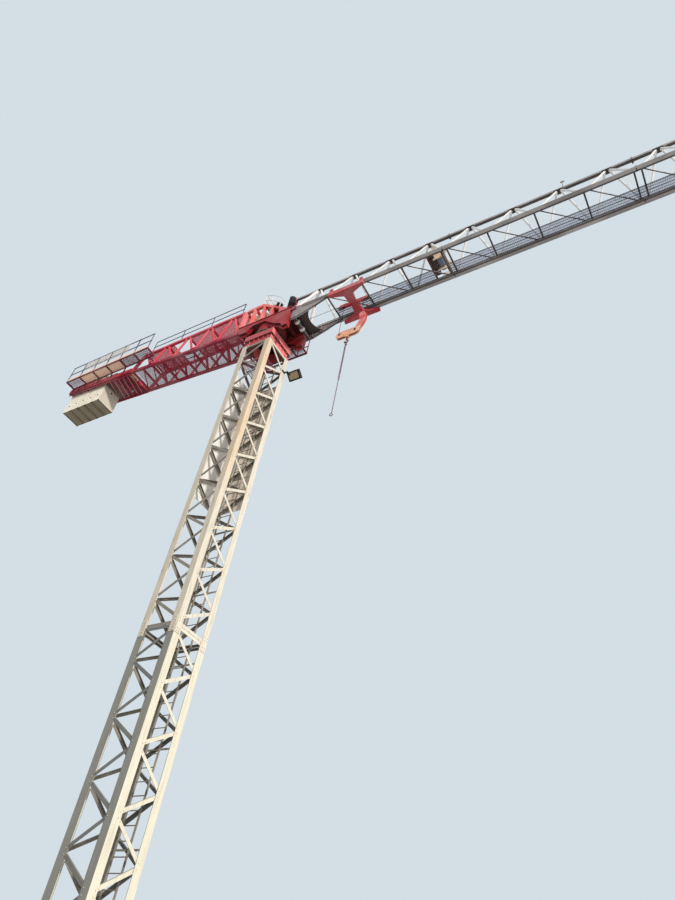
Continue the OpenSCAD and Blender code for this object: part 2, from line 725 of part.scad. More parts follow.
// Tie from the first top crossing back to the head's lugs
module top_tie() {
    difference() {
        union() {
            beam([tie_x, 0, tie_z], [x0 + bay / 2, 0, apex_z], tie_w, 90);
            translate([tie_x, 0, tie_z]) rotate([90, 0, 0])
                cylinder(d = tie_eye, h = tie_w, center = true, $fn = 48);
        }
        translate([tie_x, 0, tie_z]) rotate([90, 0, 0])
            cylinder(d = pin_d + 0.6, h = 2 * tie_w, center = true, $fn = 40);
    }
}
module top_chord_bar(xa, xb) {
    translate([xa, -top_chord / 2, apex_z - top_chord / 2]) cube([xb - xa, top_chord, top_chord]);
}
// Bottom chord with the lip that the trolley wheels run on
module bottom_chord(s, xa, xb) {
    y = jib_w / 2;
    translate([xa, 0, jib_z]) rotate([90, 0, 90]) linear_extrude(xb - xa)
        mirror([1 - s, 0]) polygon([[y - chord / 2, -chord / 2], [y + chord / 2 + rail_w, -chord / 2],
            [y + chord / 2 + rail_w, -chord / 2 + rail_t], [y + chord / 2, -chord / 2 + rail_t],
            [y + chord / 2, chord / 2], [y - chord / 2, chord / 2]]);
}
module side_bars(s, x_first, bays) {
    for (i = [0 : bays - 1]) {
        x = x_first + i * bay;
        top = jib_top(x + bay / 2 - node_gap);
        if (x > x0) rod(jib_low(s, x + bar_foot), top, side_bar_d);
        else rod([pin_x - 20, s * jib_w / 2 * (1 - strut_z / jib_h), jib_z + strut_z], top, strut_d);
        rod(jib_top(x + bay / 2 + node_gap), jib_low(s, x + bay - node_gap), side_bar_d);
    }
}
// Bars of one side, cut at the middle plane and at the foot plates
module cut_bars(s, x_first, bays) {
    difference() {
        side_bars(s, x_first, bays);
        translate([x_first - bay, (s > 0) ? -bay : 0, jib_z]) cube([(bays + 2) * bay, bay, 2 * jib_h]);
        if (x_first == x0) foot_plate(s);
    }
}
module jib_side(s, x_first, bays, xa, xb, ta, tb) {
    bottom_chord(s, xa, xb);
    if (s > 0) {
        top_chord_bar(ta, tb);
        cut_bars(s, x_first, bays);
    }
    if (s < 0) difference() {
        cut_bars(s, x_first, bays);
        translate([ta - bay, -top_chord / 2, apex_z - top_chord / 2])
            cube([tb - ta + 2 * bay, top_chord, 2 * top_chord]);
    }
}
module jib_floor(x_first, bays, last) {
    y = jib_w / 2 - chord / 2;
    for (i = [0 : bays - last]) {
        x = x_first + i * bay + ((i == 0) ? 130 : 0) - ((i == bays) ? 80 : 0);
        beam([x, -y, jib_z], [x, y, jib_z], 50, 50);
    }
    intersection() {
        for (i = [0 : bays - 1])
            rod([x_first + i * bay + bar_foot, -y - 20, jib_z],
                [x_first + (i + 1) * bay - bar_foot, y + 20, jib_z], floor_bar_d);
        translate([x_first, -y, jib_z - floor_bar_d]) cube([bays * bay, 2 * y, 2 * floor_bar_d]);
    }
}
in_a = foot_x + 420;
module jib_inner_left_side() {
    color(grey) {
        jib_side(1, x0, 4, in_a, x1 - joint_gap / 2, x0 + bay / 2 - 60, x1 + joint_gap);
        top_tie();
    }
}
module jib_inner_right_side() {
    color(grey) jib_side(-1, x0, 4, in_a, x1 - joint_gap / 2, x0, x1);
}
module jib_inner_floor() { color(grey) jib_floor(x0 + bay, 3, 0); }
wind_x = x2 - 2100;                    // place of the wind sensor's post
module jib_middle_left_side() {
    color(grey) {
        jib_side(1, x1, 4, x1 + joint_gap / 2, x2 - joint_gap / 2, x1 + 2 * joint_gap, x2 + joint_gap);
        translate([wind_x, 0, apex_z]) cylinder(d = 24, h = top_chord / 2 + 420, $fn = 16);
        translate([wind_x - 60, -15, apex_z + top_chord / 2 + 400]) cube([120, 30, 60]);
    }
}
module jib_middle_right_side() {
    color(grey) jib_side(-1, x1, 4, x1 + joint_gap / 2, x2 - joint_gap / 2, x1, x2);
}
module jib_middle_floor() { color(grey) jib_floor(x1, 4, 0); }
module jib_outer_left_side() {
    color(grey) jib_side(1, x2, 6, x2 + joint_gap / 2, x3, x2 + 2 * joint_gap, x3 - bay / 2 + 60);
}
module jib_outer_right_side() {
    color(grey) jib_side(-1, x2, 6, x2 + joint_gap / 2, x3, x2, x3);
}
module jib_outer_floor() { color(grey) jib_floor(x2, 6, 0); }

// Deep plates and pins that hang the jib on the turret lugs, tied by a tube
// with two collars and by a plate with a round front edge
foot_t = 60;
foot_low = jib_z - 560;
foot_tip = foot_x + 1500;              // where the deep plates run out under the chords
tube_z = jib_z - 480;
module foot_plate(s) {
    low = jib_z - chord / 2;
    translate([0, s * turret_y - foot_t / 2, 0]) rotate([90, 0, 0]) mirror([0, 0, 1])
        linear_extrude(foot_t)
            polygon([[foot_x, foot_low], [foot_x + 270, foot_low], [foot_x + 950, foot_low + 250],
                     [foot_tip, low], [in_a, low], [in_a, jib_z + chord / 2],
                     [pin_x + 90, jib_z + strut_z + 10], [foot_x, jib_z + strut_z + 10]]);
}
module jib_foot() {
    y = turret_y - foot_t / 2;
    color([0.22, 0.2, 0.19]) {
        for (s = [-1, 1]) {
            difference() {
                foot_plate(s);
                translate([pin_x, s * turret_y, jib_z]) rotate([90, 0, 0])
                    cylinder(d = pin_d, h = 2 * foot_t, center = true, $fn = 48);
            }
            translate([pin_x, s * turret_y, jib_z]) rotate([90, 0, 0])
                cylinder(d = pin_d - 0.6, h = 180, center = true, $fn = 48);
        }
        translate([foot_x + 110, 0, tube_z]) rotate([90, 0, 0]) {
            cylinder(d = 130, h = 2 * y + 2, center = true, $fn = 40);
            for (collar = [-60, 280]) translate([0, 0, collar]) cylinder(d = 190, h = 80, center = true, $fn = 40);
        }
        translate([foot_x + 40, 0, tube_z + 150]) linear_extrude(24) difference() {
            translate([0, -y - 1]) square([720, 2 * y + 2]);
            translate([1040, 0]) circle(r = y + 110, $fn = 64);
        }
    }
}

// Mesh strip along the left chord
walk_strip = 360;
module jib_walkway() {
    y = jib_w / 2 - chord / 2 - walk_strip;
    xa = x0 + bay + 80;
    xb = x3 - 80;
    color("darkgray") for (k = [0 : 4], run = [[xa, winch_x - 10], [winch_x + 630, xb]])
        translate([run[0], y + k * (walk_strip - 12) / 4, jib_z + 25]) cube([run[1] - run[0], 12, 20]);
}

// End frame with the rope anchor and the end sheave
module jib_tip() {
    color(grey) {
        for (s = [-1, 1])
            translate([x3, s * jib_w / 2 - chord / 2, jib_z - chord / 2]) cube([260, chord, chord]);
        translate([x3 + 260, -jib_w / 2 - chord / 2, jib_z - chord / 2]) cube([80, jib_w + chord, chord]);
        translate([x3 + 150, -jib_w / 2, jib_z - 30]) cube([60, jib_w, 60]);
    }
}

// Drum, motor and cheeks between the chords, over the trolley's path
module trolley_winch() {
    y = jib_w / 2 - chord / 2;
    z = jib_z + 300;
    color(beige) {
        for (k = [0, 1]) translate([winch_x + k * 560, -y, jib_z + 25]) cube([60, 2 * y, 30]);
        translate([winch_x, 0, jib_z + 55]) rotate([90, 0, 90]) linear_extrude(40)
            polygon([[-360, 0], [360, 0], [360, 60], [110, 860], [-110, 860], [-360, 60]]);
        for (s = [-1, 1]) translate([winch_x + 40, s * 220 - 12, jib_z + 55]) cube([580, 24, 400]);
        translate([winch_x + 330, 0, z]) rotate([90, 0, 0]) cylinder(d = 260, h = 430, center = true, $fn = 40);
        translate([winch_x + 330, 280, z]) rotate([90, 0, 0]) cylinder(d = 200, h = 130, center = true, $fn = 40);
        translate([winch_x + 40, -180, jib_z + 455]) cube([400, 300, 300]);
    }
}

// Hoist rope from the turret over the trolley sheaves to the jib's end
module hoist_rope() {
    color([0.2, 0.2, 0.2]) rod([turret_half, 0, rope_z], [x3 + 260, 0, rope_z], rope_d, 8);
}

// Trolley: two side members on four brackets, joined by arms that meet at the sheave box
frame_y = rail_y + rail_w + 16;
module trolley_frame() {
    l = wheel_base + 230;
    z = frame_z - 50;
    color(red) {
        for (s = [-1, 1]) {
            translate([trolley_x - l / 2, s * frame_y - 8, frame_z - 60]) cube([l, 16, 130]);
            for (k = [-1, 1])
                translate([trolley_x + k * wheel_base / 2 - 70, s * frame_y - 8, frame_z])
                    cube([140, 16, wheel_z + 70 - frame_z]);
            translate([trolley_x, 0, z]) linear_extrude(90) mirror([0, (s > 0) ? 0 : 1])
                polygon([[-100, 0], [100, 0], [170, frame_y - 250], [l / 2, frame_y - 70], [l / 2, frame_y],
                         [250, frame_y], [0, frame_y - 90], [-250, frame_y], [-l / 2, frame_y],
                         [-l / 2, frame_y - 70], [-170, frame_y - 250]]);
        }
        for (s = [-1, 1])
            translate([trolley_x - trolley_sheave_x - 60, s * (cheek_y + 8) - 8, frame_z - 60])
                cube([2 * trolley_sheave_x + 120, 16, 150]);
    }
}
module trolley_wheels() {
    color([0.3, 0.3, 0.3]) for (s = [-1, 1], k = [-1, 1])
        translate([trolley_x + k * wheel_base / 2, s * (frame_y - 8), wheel_z]) rotate([s * 90, 0, 0]) {
            cylinder(d = wheel_d, h = wheel_w, $fn = 40);
        }
}
// Grooved sheave with its pin, axis along Y
module sheave(d, pin_len) {
    g = rope_d / 2 + 3;
    rotate([90, 0, 0]) rotate_extrude($fn = 48)
        polygon([[0, -sheave_w / 2], [d / 2, -sheave_w / 2], [d / 2, -g - 4], [d / 2 - groove, -g],
                 [d / 2 - groove, g], [d / 2, g + 4], [d / 2, sheave_w / 2], [0, sheave_w / 2]]);
    rotate([90, 0, 0]) cylinder(d = 44, h = pin_len, center = true, $fn = 40);
}
module trolley_sheaves() {
    color("dimgray") for (k = [-1, 1])
        translate([trolley_x + k * trolley_sheave_x, 0, sheave_z]) sheave(sheave_d, 2 * cheek_y);
}

// Hook block: two cheeks with a sheave at each end and an arm that rises at the outer end
module hook_block() {
    color([0.85, 0.62, 0.4]) for (s = [-1, 1])
        translate([trolley_x, s * (cheek_y + 10) - 10, block_z]) rotate([90, 0, 0]) mirror([0, 0, 1])
            linear_extrude(20) union() {
                translate([-block_sheave_x, -cheek_h / 2]) square([2 * block_sheave_x, cheek_h]);
                for (k = [-1, 1]) translate([k * block_sheave_x, 0]) circle(d = cheek_h, $fn = 48);
                polygon([[block_sheave_x - 60, 0], [block_sheave_x + 108, -102], [block_sheave_x + 330, 420],
                         [block_sheave_x + 330, arm_h - 160], [block_sheave_x + 200, arm_h],
                         [block_sheave_x + 60, arm_h - 60], [block_sheave_x + 110, 480]]);
            }
    color([0.85, 0.62, 0.4]) {
        translate([trolley_x - 90, -cheek_y, block_z - 110]) cube([180, 2 * cheek_y, 220]);
        translate([trolley_x + block_sheave_x + 200, 0, block_z + arm_h - 110]) rotate([90, 0, 0])
            cylinder(d = 90, h = 2 * cheek_y, center = true, $fn = 32);
    }
    color(red) translate([trolley_x - 60, -60, block_z - 210]) cube([120, 120, 100]);
}
module hook_sheaves() {
    color("dimgray") for (k = [-1, 1])
        translate([trolley_x + k * block_sheave_x, 0, block_z]) sheave(block_sheave_d, 2 * cheek_y);
}
module rope_falls() {
    color([0.2, 0.2, 0.2]) for (k = [-1, 1])
        translate([trolley_x + k * fall_gap / 2, 0, block_z])
            cylinder(d = rope_d, h = hook_drop, $fn = 8);
}

// Hook on its swivel shank
hook_bowl = 70;                        // radius of the bowl's middle line
hook_d = 44;
module hook() {
    color([0.75, 0.35, 0.2]) translate([trolley_x, 0, hook_z]) {
        translate([0, 0, 60]) cylinder(d = 50, h = 150 - swivel_gap, $fn = 32);
        rotate([90, 0, 0]) rotate([0, 0, -180]) rotate_extrude(angle = 270, $fn = 48)
            translate([hook_bowl, 0]) circle(d = hook_d, $fn = 24);
    }
}

// Ring in the hook's bowl with two short legs, a joining link, one long leg and its end hook
module chain_sling() {
    ring = 60;
    ring_d = 24;
    top = hook_z - hook_bowl + hook_d / 2 + seat_gap + ring_d / 2 - ring;
    low = top - sling_len;
    color([0.5, 0.2, 0.3]) {
        translate([trolley_x, 0, top]) rotate([0, 90, 0]) rotate_extrude($fn = 48)
            translate([ring, 0]) circle(d = ring_d, $fn = 24);
        for (s = [-1, 1])
            beam([trolley_x, s * 22, top - ring], [trolley_x, s * 22, top - sling_split], 26, 26);
        translate([trolley_x - 20, -40, top - sling_split - 60]) cube([40, 80, 70]);
        beam([trolley_x, 0, low + 60], [trolley_x, 0, top - sling_split - 50], 22, 22);
        translate([trolley_x, 0, low]) rotate([90, 0, 0]) rotate([0, 0, -180])
            rotate_extrude(angle = 270, $fn = 48) translate([55, 0]) circle(d = 26, $fn = 20);
        translate([trolley_x, 0, low + 40]) cylinder(d = 30, h = 40, $fn = 20);
    }
}

base_frame();
lower_mast_left_side();
lower_mast_right_side();
lower_mast_front_bracing();
lower_mast_rear_bracing();
upper_mast_left_side();
upper_mast_right_side();
upper_mast_front_bracing();
upper_mast_rear_bracing();
mast_ladder();
rear_board();
left_board();
floodlight();
support_frame();
ring_gear();
slewing_ring();
turret_frame();
turret_head();
slewing_drives();
control_cabinets();
guard_cage();
service_platform();
counter_jib_left_side();
counter_jib_right_side();
counter_jib_floor();
counter_jib_top_bracing();
rear_frame();
side_walkway();
walkway_rail();
counter_jib_rail();
ballast_slabs();
hoist_winch_frame();
hoist_drum();
hoist_motor();
jib_foot();
jib_inner_left_side();
jib_inner_right_side();
jib_inner_floor();
jib_middle_left_side();
jib_middle_right_side();
jib_middle_floor();
jib_outer_left_side();
jib_outer_right_side();
jib_outer_floor();
jib_walkway();
jib_tip();
trolley_winch();
hoist_rope();
trolley_frame();
trolley_wheels();
trolley_sheaves();
hook_block();
hook_sheaves();
rope_falls();
hook();
chain_sling();
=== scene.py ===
# %% [markdown]
# A flat-top tower crane, seen from the ground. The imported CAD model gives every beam,
# ring, sheave and joint at its real size. This script adds what the eye looks for next:
# weathered paint, bolts, gratings, rope windings and chain links. The frame comes first,
# because every piece below takes its place from it.

# %% Load the frame
import math

import bmesh
import bpy
from mathutils import Matrix, Vector


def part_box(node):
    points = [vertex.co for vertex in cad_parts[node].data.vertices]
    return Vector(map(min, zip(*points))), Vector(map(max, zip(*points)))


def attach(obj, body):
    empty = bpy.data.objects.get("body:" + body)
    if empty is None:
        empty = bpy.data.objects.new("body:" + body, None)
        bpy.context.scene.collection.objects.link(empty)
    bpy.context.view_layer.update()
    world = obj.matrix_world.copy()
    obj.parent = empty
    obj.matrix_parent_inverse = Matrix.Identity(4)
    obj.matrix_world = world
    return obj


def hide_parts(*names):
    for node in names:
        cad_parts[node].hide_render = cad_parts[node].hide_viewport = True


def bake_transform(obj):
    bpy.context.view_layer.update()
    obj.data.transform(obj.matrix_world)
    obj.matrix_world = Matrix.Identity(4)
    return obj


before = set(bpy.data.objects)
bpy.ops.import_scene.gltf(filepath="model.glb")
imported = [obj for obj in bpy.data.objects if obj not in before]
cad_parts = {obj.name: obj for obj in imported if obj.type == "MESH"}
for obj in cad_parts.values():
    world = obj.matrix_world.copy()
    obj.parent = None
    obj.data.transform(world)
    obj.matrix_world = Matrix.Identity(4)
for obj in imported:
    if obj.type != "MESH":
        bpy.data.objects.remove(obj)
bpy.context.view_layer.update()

# %% [markdown]
# The main heights and widths are read from the frame, so a bolt or a grating stays where
# it belongs when a CAD size changes. X runs along the jib, Y to its left and Z up.

# %% Sizes from the frame
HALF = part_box("lower_mast_right_side")[1].x
FOOT_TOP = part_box("base_frame")[1].z
JOINT_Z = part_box("lower_mast_right_side")[1].z
MAST_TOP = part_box("upper_mast_left_side")[1].z
RING_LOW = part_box("ring_gear")[0]
TURNING_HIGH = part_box("slewing_ring")[1]
TURRET_LOW, TURRET_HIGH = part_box("turret_frame")
TIP_LOW, TIP_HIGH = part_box("jib_tip")
JIB_Z = (TIP_LOW.z + TIP_HIGH.z) / 2
CHORD = TIP_HIGH.z - TIP_LOW.z
JIB_Y = TIP_HIGH.y - CHORD / 2
APEX_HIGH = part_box("jib_outer_left_side")[1].z
SECTION_1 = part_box("jib_middle_left_side")[0].x
SECTION_2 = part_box("jib_outer_left_side")[0].x
JIB_END = TIP_LOW.x
TOP_CHORD = 0.10
BAY = (JIB_END - SECTION_2) / 6
FIRST_NODE = SECTION_1 - 4 * BAY
SIDE_LOW, SIDE_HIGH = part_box("counter_jib_left_side")
BEAM_LOW, BEAM_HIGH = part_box("rear_frame")
CJ_Y = (SIDE_LOW.y + SIDE_HIGH.y) / 2
CJ_FRONT, CJ_END = SIDE_HIGH.x, SIDE_LOW.x
CJ_SLOPE = (BEAM_LOW.z - SIDE_LOW.z) / (CJ_FRONT - CJ_END)
CJ_CHORD = 0.10
CJ_LOW_CHORD = 0.13
BLOCK_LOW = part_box("hook_block")[0]
print("mast", HALF, JOINT_Z, MAST_TOP, "jib", JIB_Z, BAY, JIB_END)

# %% [markdown]
# Colours are chosen as they look on a screen and are then made linear, which is what the
# shader sockets expect. Two effects come back on most surfaces, so each is a shader node
# group: worn paint, with fading, grime and rust that runs down, and bare metal. The
# paint group also paints shade: faces that look down turn dark, which is painted shade with
# some soot, and faces that look to -Y can take a darker side colour, which is painted shade.

# %% Colours and the weathered paint group
def screen(red, green, blue):
    """A colour as a screen shows it, made linear, with full opacity."""
    def linear(value):
        return value / 12.92 if value <= 0.04045 else ((value + 0.055) / 1.055) ** 2.4
    return (linear(red), linear(green), linear(blue), 1.0)


RUST = screen(0.50, 0.29, 0.17)
SOOT = screen(0.27, 0.23, 0.20)
# The dark colour for faces that look down is painted shade, with some soot.
UNDERSIDE_SHADE_AND_SOOT = screen(0.15, 0.11, 0.09)


class NodeTree:
    """Adds nodes to a tree in one line each and joins them."""

    def __init__(self, tree):
        self.tree = tree

    def add(self, kind, inputs=None, **settings):
        node = self.tree.nodes.new(kind)
        for name, value in settings.items():
            setattr(node, name, value)
        for name, value in (inputs or {}).items():
            if isinstance(value, bpy.types.NodeSocket):
                self.tree.links.new(value, node.inputs[name])
            else:
                node.inputs[name].default_value = value
        return node

    def math(self, operation, first, second=0.0):
        return self.add("ShaderNodeMath", {0: first, 1: second}, operation=operation).outputs[0]

    def mix(self, factor, first, second, blend="MIX"):
        node = self.add("ShaderNodeMix", data_type="RGBA", blend_type=blend)
        for index, value in ((0, factor), (6, first), (7, second)):
            if isinstance(value, bpy.types.NodeSocket):
                self.tree.links.new(value, node.inputs[index])
            else:
                node.inputs[index].default_value = value
        return node.outputs[2]

    def noise(self, vector, scale, detail=4.0, roughness=0.55):
        return self.add("ShaderNodeTexNoise", {"Vector": vector, "Scale": scale, "Detail": detail,
                                               "Roughness": roughness}).outputs["Fac"]

    def ramp(self, value, low, high, to_low=0.0, to_high=1.0):
        return self.add("ShaderNodeMapRange", {"Value": value, "From Min": low, "From Max": high,
                                               "To Min": to_low, "To Max": to_high},
                        interpolation_type="SMOOTHSTEP").outputs["Result"]

    def place(self):
        """The point's X, Y and Z in the piece."""
        spot = self.add("ShaderNodeTexCoord").outputs["Object"]
        return self.add("ShaderNodeSeparateXYZ", {"Vector": spot}).outputs

    def facing(self):
        """The X, Y and Z of the way the surface faces."""
        normal = self.add("ShaderNodeNewGeometry").outputs["Normal"]
        return self.add("ShaderNodeSeparateXYZ", {"Vector": normal}).outputs

    def scaled_place(self, scale):
        place = self.add("ShaderNodeTexCoord").outputs["Object"]
        scaled = self.add("ShaderNodeVectorMath", {0: place}, operation="SCALE")
        self.tree.links.new(scale, scaled.inputs["Scale"])
        return scaled.outputs[0]


def new_group(name, inputs, outputs):
    group = bpy.data.node_groups.new(name, "ShaderNodeTree")
    for socket, kind in inputs:
        group.interface.new_socket(socket, in_out="INPUT", socket_type="NodeSocket" + kind)
    for socket, kind in outputs:
        group.interface.new_socket(socket, in_out="OUTPUT", socket_type="NodeSocket" + kind)
    tree = NodeTree(group)
    return group, tree, tree.add("NodeGroupInput"), tree.add("NodeGroupOutput")


def build_wear_and_shade():
    group, t, given, out = new_group(
        "weathered paint",
        [("Paint", "Color"), ("Rust", "Float"), ("Grime", "Float"), ("Fade", "Float"), ("Scale", "Float"),
         ("Under", "Float"), ("Side", "Float"), ("Side Shade Paint", "Color")],
        [("Color", "Color"), ("Roughness", "Float"), ("Height", "Float")])
    spot = t.scaled_place(given.outputs["Scale"])
    runs = t.add("ShaderNodeMapping", {"Vector": spot, "Scale": (9.0, 9.0, 0.7)}).outputs[0]
    broad = t.noise(spot, 0.9, 3.0)
    middle = t.noise(spot, 5.0, 6.0, 0.62)
    fine = t.noise(spot, 42.0, 6.0, 0.65)
    streak = t.noise(runs, 2.2, 4.0)
    worn = t.math("ADD", t.math("MULTIPLY", middle, 0.55), t.math("MULTIPLY", streak, 0.45))
    edge = t.math("SUBTRACT", 0.74, t.math("MULTIPLY", given.outputs["Rust"], 0.34))
    rust = t.ramp(worn, edge, t.math("ADD", edge, 0.10))
    dirt = t.math("ADD", t.math("MULTIPLY", streak, 0.6), t.math("MULTIPLY", fine, 0.4))
    grime = t.math("MULTIPLY", t.ramp(dirt, 0.42, 0.66), given.outputs["Grime"])
    pale = t.math("MULTIPLY", t.ramp(broad, 0.40, 0.64), given.outputs["Fade"])
    faded = t.mix(pale, given.outputs["Paint"], t.mix(0.5, given.outputs["Paint"],
                                                      (1.0, 0.93, 0.88, 1.0)))
    facing = t.facing()
    # Faces that look down are mixed towards the dark underside colour: painted shade, with some soot.
    soot_and_shade_below = t.math("MULTIPLY", t.ramp(facing["Z"], -0.35, -0.95), given.outputs["Under"])
    # Faces that look to -Y are mixed towards the side colour: painted shade.
    painted_side_shade = t.math("MULTIPLY", t.ramp(facing["Y"], -0.3, -0.8), given.outputs["Side"])
    with_side_shade = t.mix(painted_side_shade, faded, given.outputs["Side Shade Paint"])
    grimy_and_shaded = t.mix(soot_and_shade_below, t.mix(grime, with_side_shade, SOOT), UNDERSIDE_SHADE_AND_SOOT)
    rusty = t.mix(t.ramp(fine, 0.35, 0.65), RUST, screen(0.66, 0.42, 0.26))
    t.tree.links.new(t.mix(rust, grimy_and_shaded, rusty), out.inputs["Color"])
    rough = t.math("ADD", t.ramp(middle, 0.3, 0.7, 0.42, 0.58), t.math("MULTIPLY", rust, 0.28))
    t.tree.links.new(rough, out.inputs["Roughness"])
    height = t.math("ADD", t.math("MULTIPLY", fine, 0.35), t.math("MULTIPLY", rust, 0.5))
    t.tree.links.new(height, out.inputs["Height"])
    return group


def build_bare_metal():
    group, t, given, out = new_group(
        "bare metal", [("Light", "Color"), ("Dark", "Color"), ("Scale", "Float")],
        [("Color", "Color"), ("Roughness", "Float"), ("Height", "Float")])
    spot = t.scaled_place(given.outputs["Scale"])
    flakes = t.add("ShaderNodeTexVoronoi", {"Vector": spot, "Scale": 26.0}).outputs["Color"]
    flake = t.add("ShaderNodeSeparateColor", {"Color": flakes}).outputs[0]
    broad = t.noise(spot, 3.0, 5.0)
    blend = t.math("ADD", t.math("MULTIPLY", flake, 0.35), t.ramp(broad, 0.3, 0.7, 0.0, 0.65))
    t.tree.links.new(t.mix(blend, given.outputs["Light"], given.outputs["Dark"]), out.inputs["Color"])
    t.tree.links.new(t.ramp(broad, 0.3, 0.7, 0.38, 0.62), out.inputs["Roughness"])
    t.tree.links.new(t.noise(spot, 60.0, 5.0), out.inputs["Height"])
    return group


WEATHERING_AND_SHADE = build_wear_and_shade()
BARE_METAL = build_bare_metal()
print("node groups", [g.name for g in bpy.data.node_groups])

# %% [markdown]
# A material places one of these groups and feeds it into its own Principled shader. The
# values that are the same all over, such as metallic, are set on the shader itself.

# %% Material makers
def start_material(name, metallic=0.0):
    material = bpy.data.materials.new(name)
    material.use_nodes = True
    tree = NodeTree(material.node_tree)
    shader = material.node_tree.nodes["Principled BSDF"]
    shader.inputs["Metallic"].default_value = metallic
    return material, tree, shader


def finish_material(tree, shader, colour, roughness, height, depth=0.0015, strength=0.5):
    bump = tree.add("ShaderNodeBump", {"Height": height, "Distance": depth, "Strength": strength})
    for value, socket in ((colour, "Base Color"), (roughness, "Roughness"), (bump.outputs[0], "Normal")):
        tree.tree.links.new(value, shader.inputs[socket])


# The under amount sets painted shade, with some soot, on faces that look down, and the optional mask
# limits where it goes; the side amount and side colour set painted shade on faces that look to -Y.
def worn_and_shaded(name, paint, rust=0.3, grime=0.3, fade=0.4, scale=1.0, under=0.4, gloss=0.3, tints=(),
              soot_and_shade_below=None,
              side=0.0, side_shade_paint=SOOT, depth=0.0015):
    material, tree, shader = start_material(name)
    shader.inputs["Specular IOR Level"].default_value = gloss
    group = tree.add("ShaderNodeGroup", node_tree=WEATHERING_AND_SHADE)
    for socket, value in (("Paint", paint), ("Rust", rust), ("Grime", grime), ("Fade", fade),
                          ("Scale", scale),
                          ("Under", under), ("Side", side), ("Side Shade Paint", side_shade_paint)):
        group.inputs[socket].default_value = value
    for where, tint in tints:
        paint = tree.mix(where(tree), paint, tint)
    if tints:
        tree.tree.links.new(paint, group.inputs["Paint"])
    if soot_and_shade_below:
        tree.tree.links.new(tree.math("MULTIPLY", soot_and_shade_below(tree), under), group.inputs["Under"])
    finish_material(tree, shader, *(group.outputs[i] for i in range(3)), depth=depth)
    return material


def metal(name, light, dark, scale=1.0, metallic=0.85):
    material, tree, shader = start_material(name, metallic)
    group = tree.add("ShaderNodeGroup", node_tree=BARE_METAL)
    for socket, value in (("Light", light), ("Dark", dark), ("Scale", scale)):
        group.inputs[socket].default_value = value
    finish_material(tree, shader, *(group.outputs[i] for i in range(3)), depth=0.0006)
    return material


# %% [markdown]
# A mask is 1 on the part of a piece that has another colour and 0 elsewhere. It reads only
# the point's place in the piece, so each of the masks below is a few comparisons.

# %% Masks
LEG_WIDE = 0.21
BAR_SHADE = 0.85
GAP = 0.001


def above(low):
    """A mask that is 1 over a height of the piece."""
    def mask(tree):
        return tree.math("GREATER_THAN", tree.place()["Z"], low)
    return mask


def between_chords(tree):
    """A mask that is 1 on the jib's side bars and 0 on its three chords."""
    height = tree.place()["Z"]
    over = tree.math("GREATER_THAN", height, JIB_Z + CHORD / 2 + GAP)
    under = tree.math("LESS_THAN", height, APEX_HIGH - TOP_CHORD - GAP)
    return tree.math("MULTIPLY", over, under)


def over_floor(tree):
    """A mask that is 1 on the counter-jib over its floor chords."""
    spot = tree.place()
    chord_top = tree.math("ADD", tree.math("MULTIPLY", spot["X"], -CJ_SLOPE),
                          SIDE_LOW.z + CJ_LOW_CHORD + CJ_SLOPE * CJ_FRONT + 2 * GAP)
    return tree.math("GREATER_THAN", spot["Z"], chord_top)


def near_corner(tree):
    """A mask that fades in up the mast leg nearest to the camera, which gets a peach tint."""
    spot = tree.place()
    corner = tree.math("MULTIPLY", tree.math("GREATER_THAN", spot["X"], HALF - LEG_WIDE),
                       tree.math("LESS_THAN", spot["Y"], LEG_WIDE - HALF))
    return tree.math("MULTIPLY", corner, tree.ramp(spot["Z"], 12.5, 17.0))


def between_legs(tree, across):
    return tree.math("LESS_THAN", tree.math("ABSOLUTE", across), HALF - LEG_WIDE + 0.005)


def shaded_side_braces(tree):
    """A mask that is strong between the mast's legs on its two sides, where the bars get painted shade.
    """
    return tree.math("MULTIPLY", between_legs(tree, tree.place()["X"]), BAR_SHADE)


def shaded_rear_braces(tree):
    """A mask that is strong between the mast's legs on its rear face, where the bars get painted shade.
    """
    spot = tree.place()
    behind = tree.math("LESS_THAN", spot["X"], 0.0)
    return tree.math("MULTIPLY", tree.math("MULTIPLY", between_legs(tree, spot["Y"]), behind), BAR_SHADE)


def head_back(tree):
    """A mask that is 1 on the rear part of the turret head, which gets a paler pink."""
    spot = tree.place()
    over = tree.ramp(spot["Z"], TURRET_HIGH.z + 0.06, TURRET_HIGH.z + 0.1)
    return tree.math("MULTIPLY", tree.ramp(spot["X"], 0.35, 0.15), over)


def winch_foot(tree):
    """A mask that is 1 on the low inner end of the trolley winch."""
    spot = tree.place()
    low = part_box("trolley_winch")[0]
    return tree.math("MULTIPLY", tree.math("LESS_THAN", spot["X"], low.x + 0.16),
                     tree.math("LESS_THAN", spot["Z"], low.z + 0.30))


def inner_flank(tree):
    """A mask that is 1 inside the outer edges of the jib's bottom chords, where the painted shade below
    goes.
    """
    return tree.math("LESS_THAN", tree.math("ABSOLUTE", tree.place()["Y"]), JIB_Y - 0.005)


# %% [markdown]
# The lower mast is cream and fairly clean, the upper mast is older, with warm beige paint
# and rust. The turret and counter-jib are a red that has faded to pink where the sun sees
# it, and the support frame's lighter pink is painted sunlight. On the jib the side bars are
# pale and the chords are a dirty grey brown, with painted shade on their undersides. The
# mast's faces that look to the camera's left, and its inner bars, get painted shade: darker
# colours stand in for the shade there.

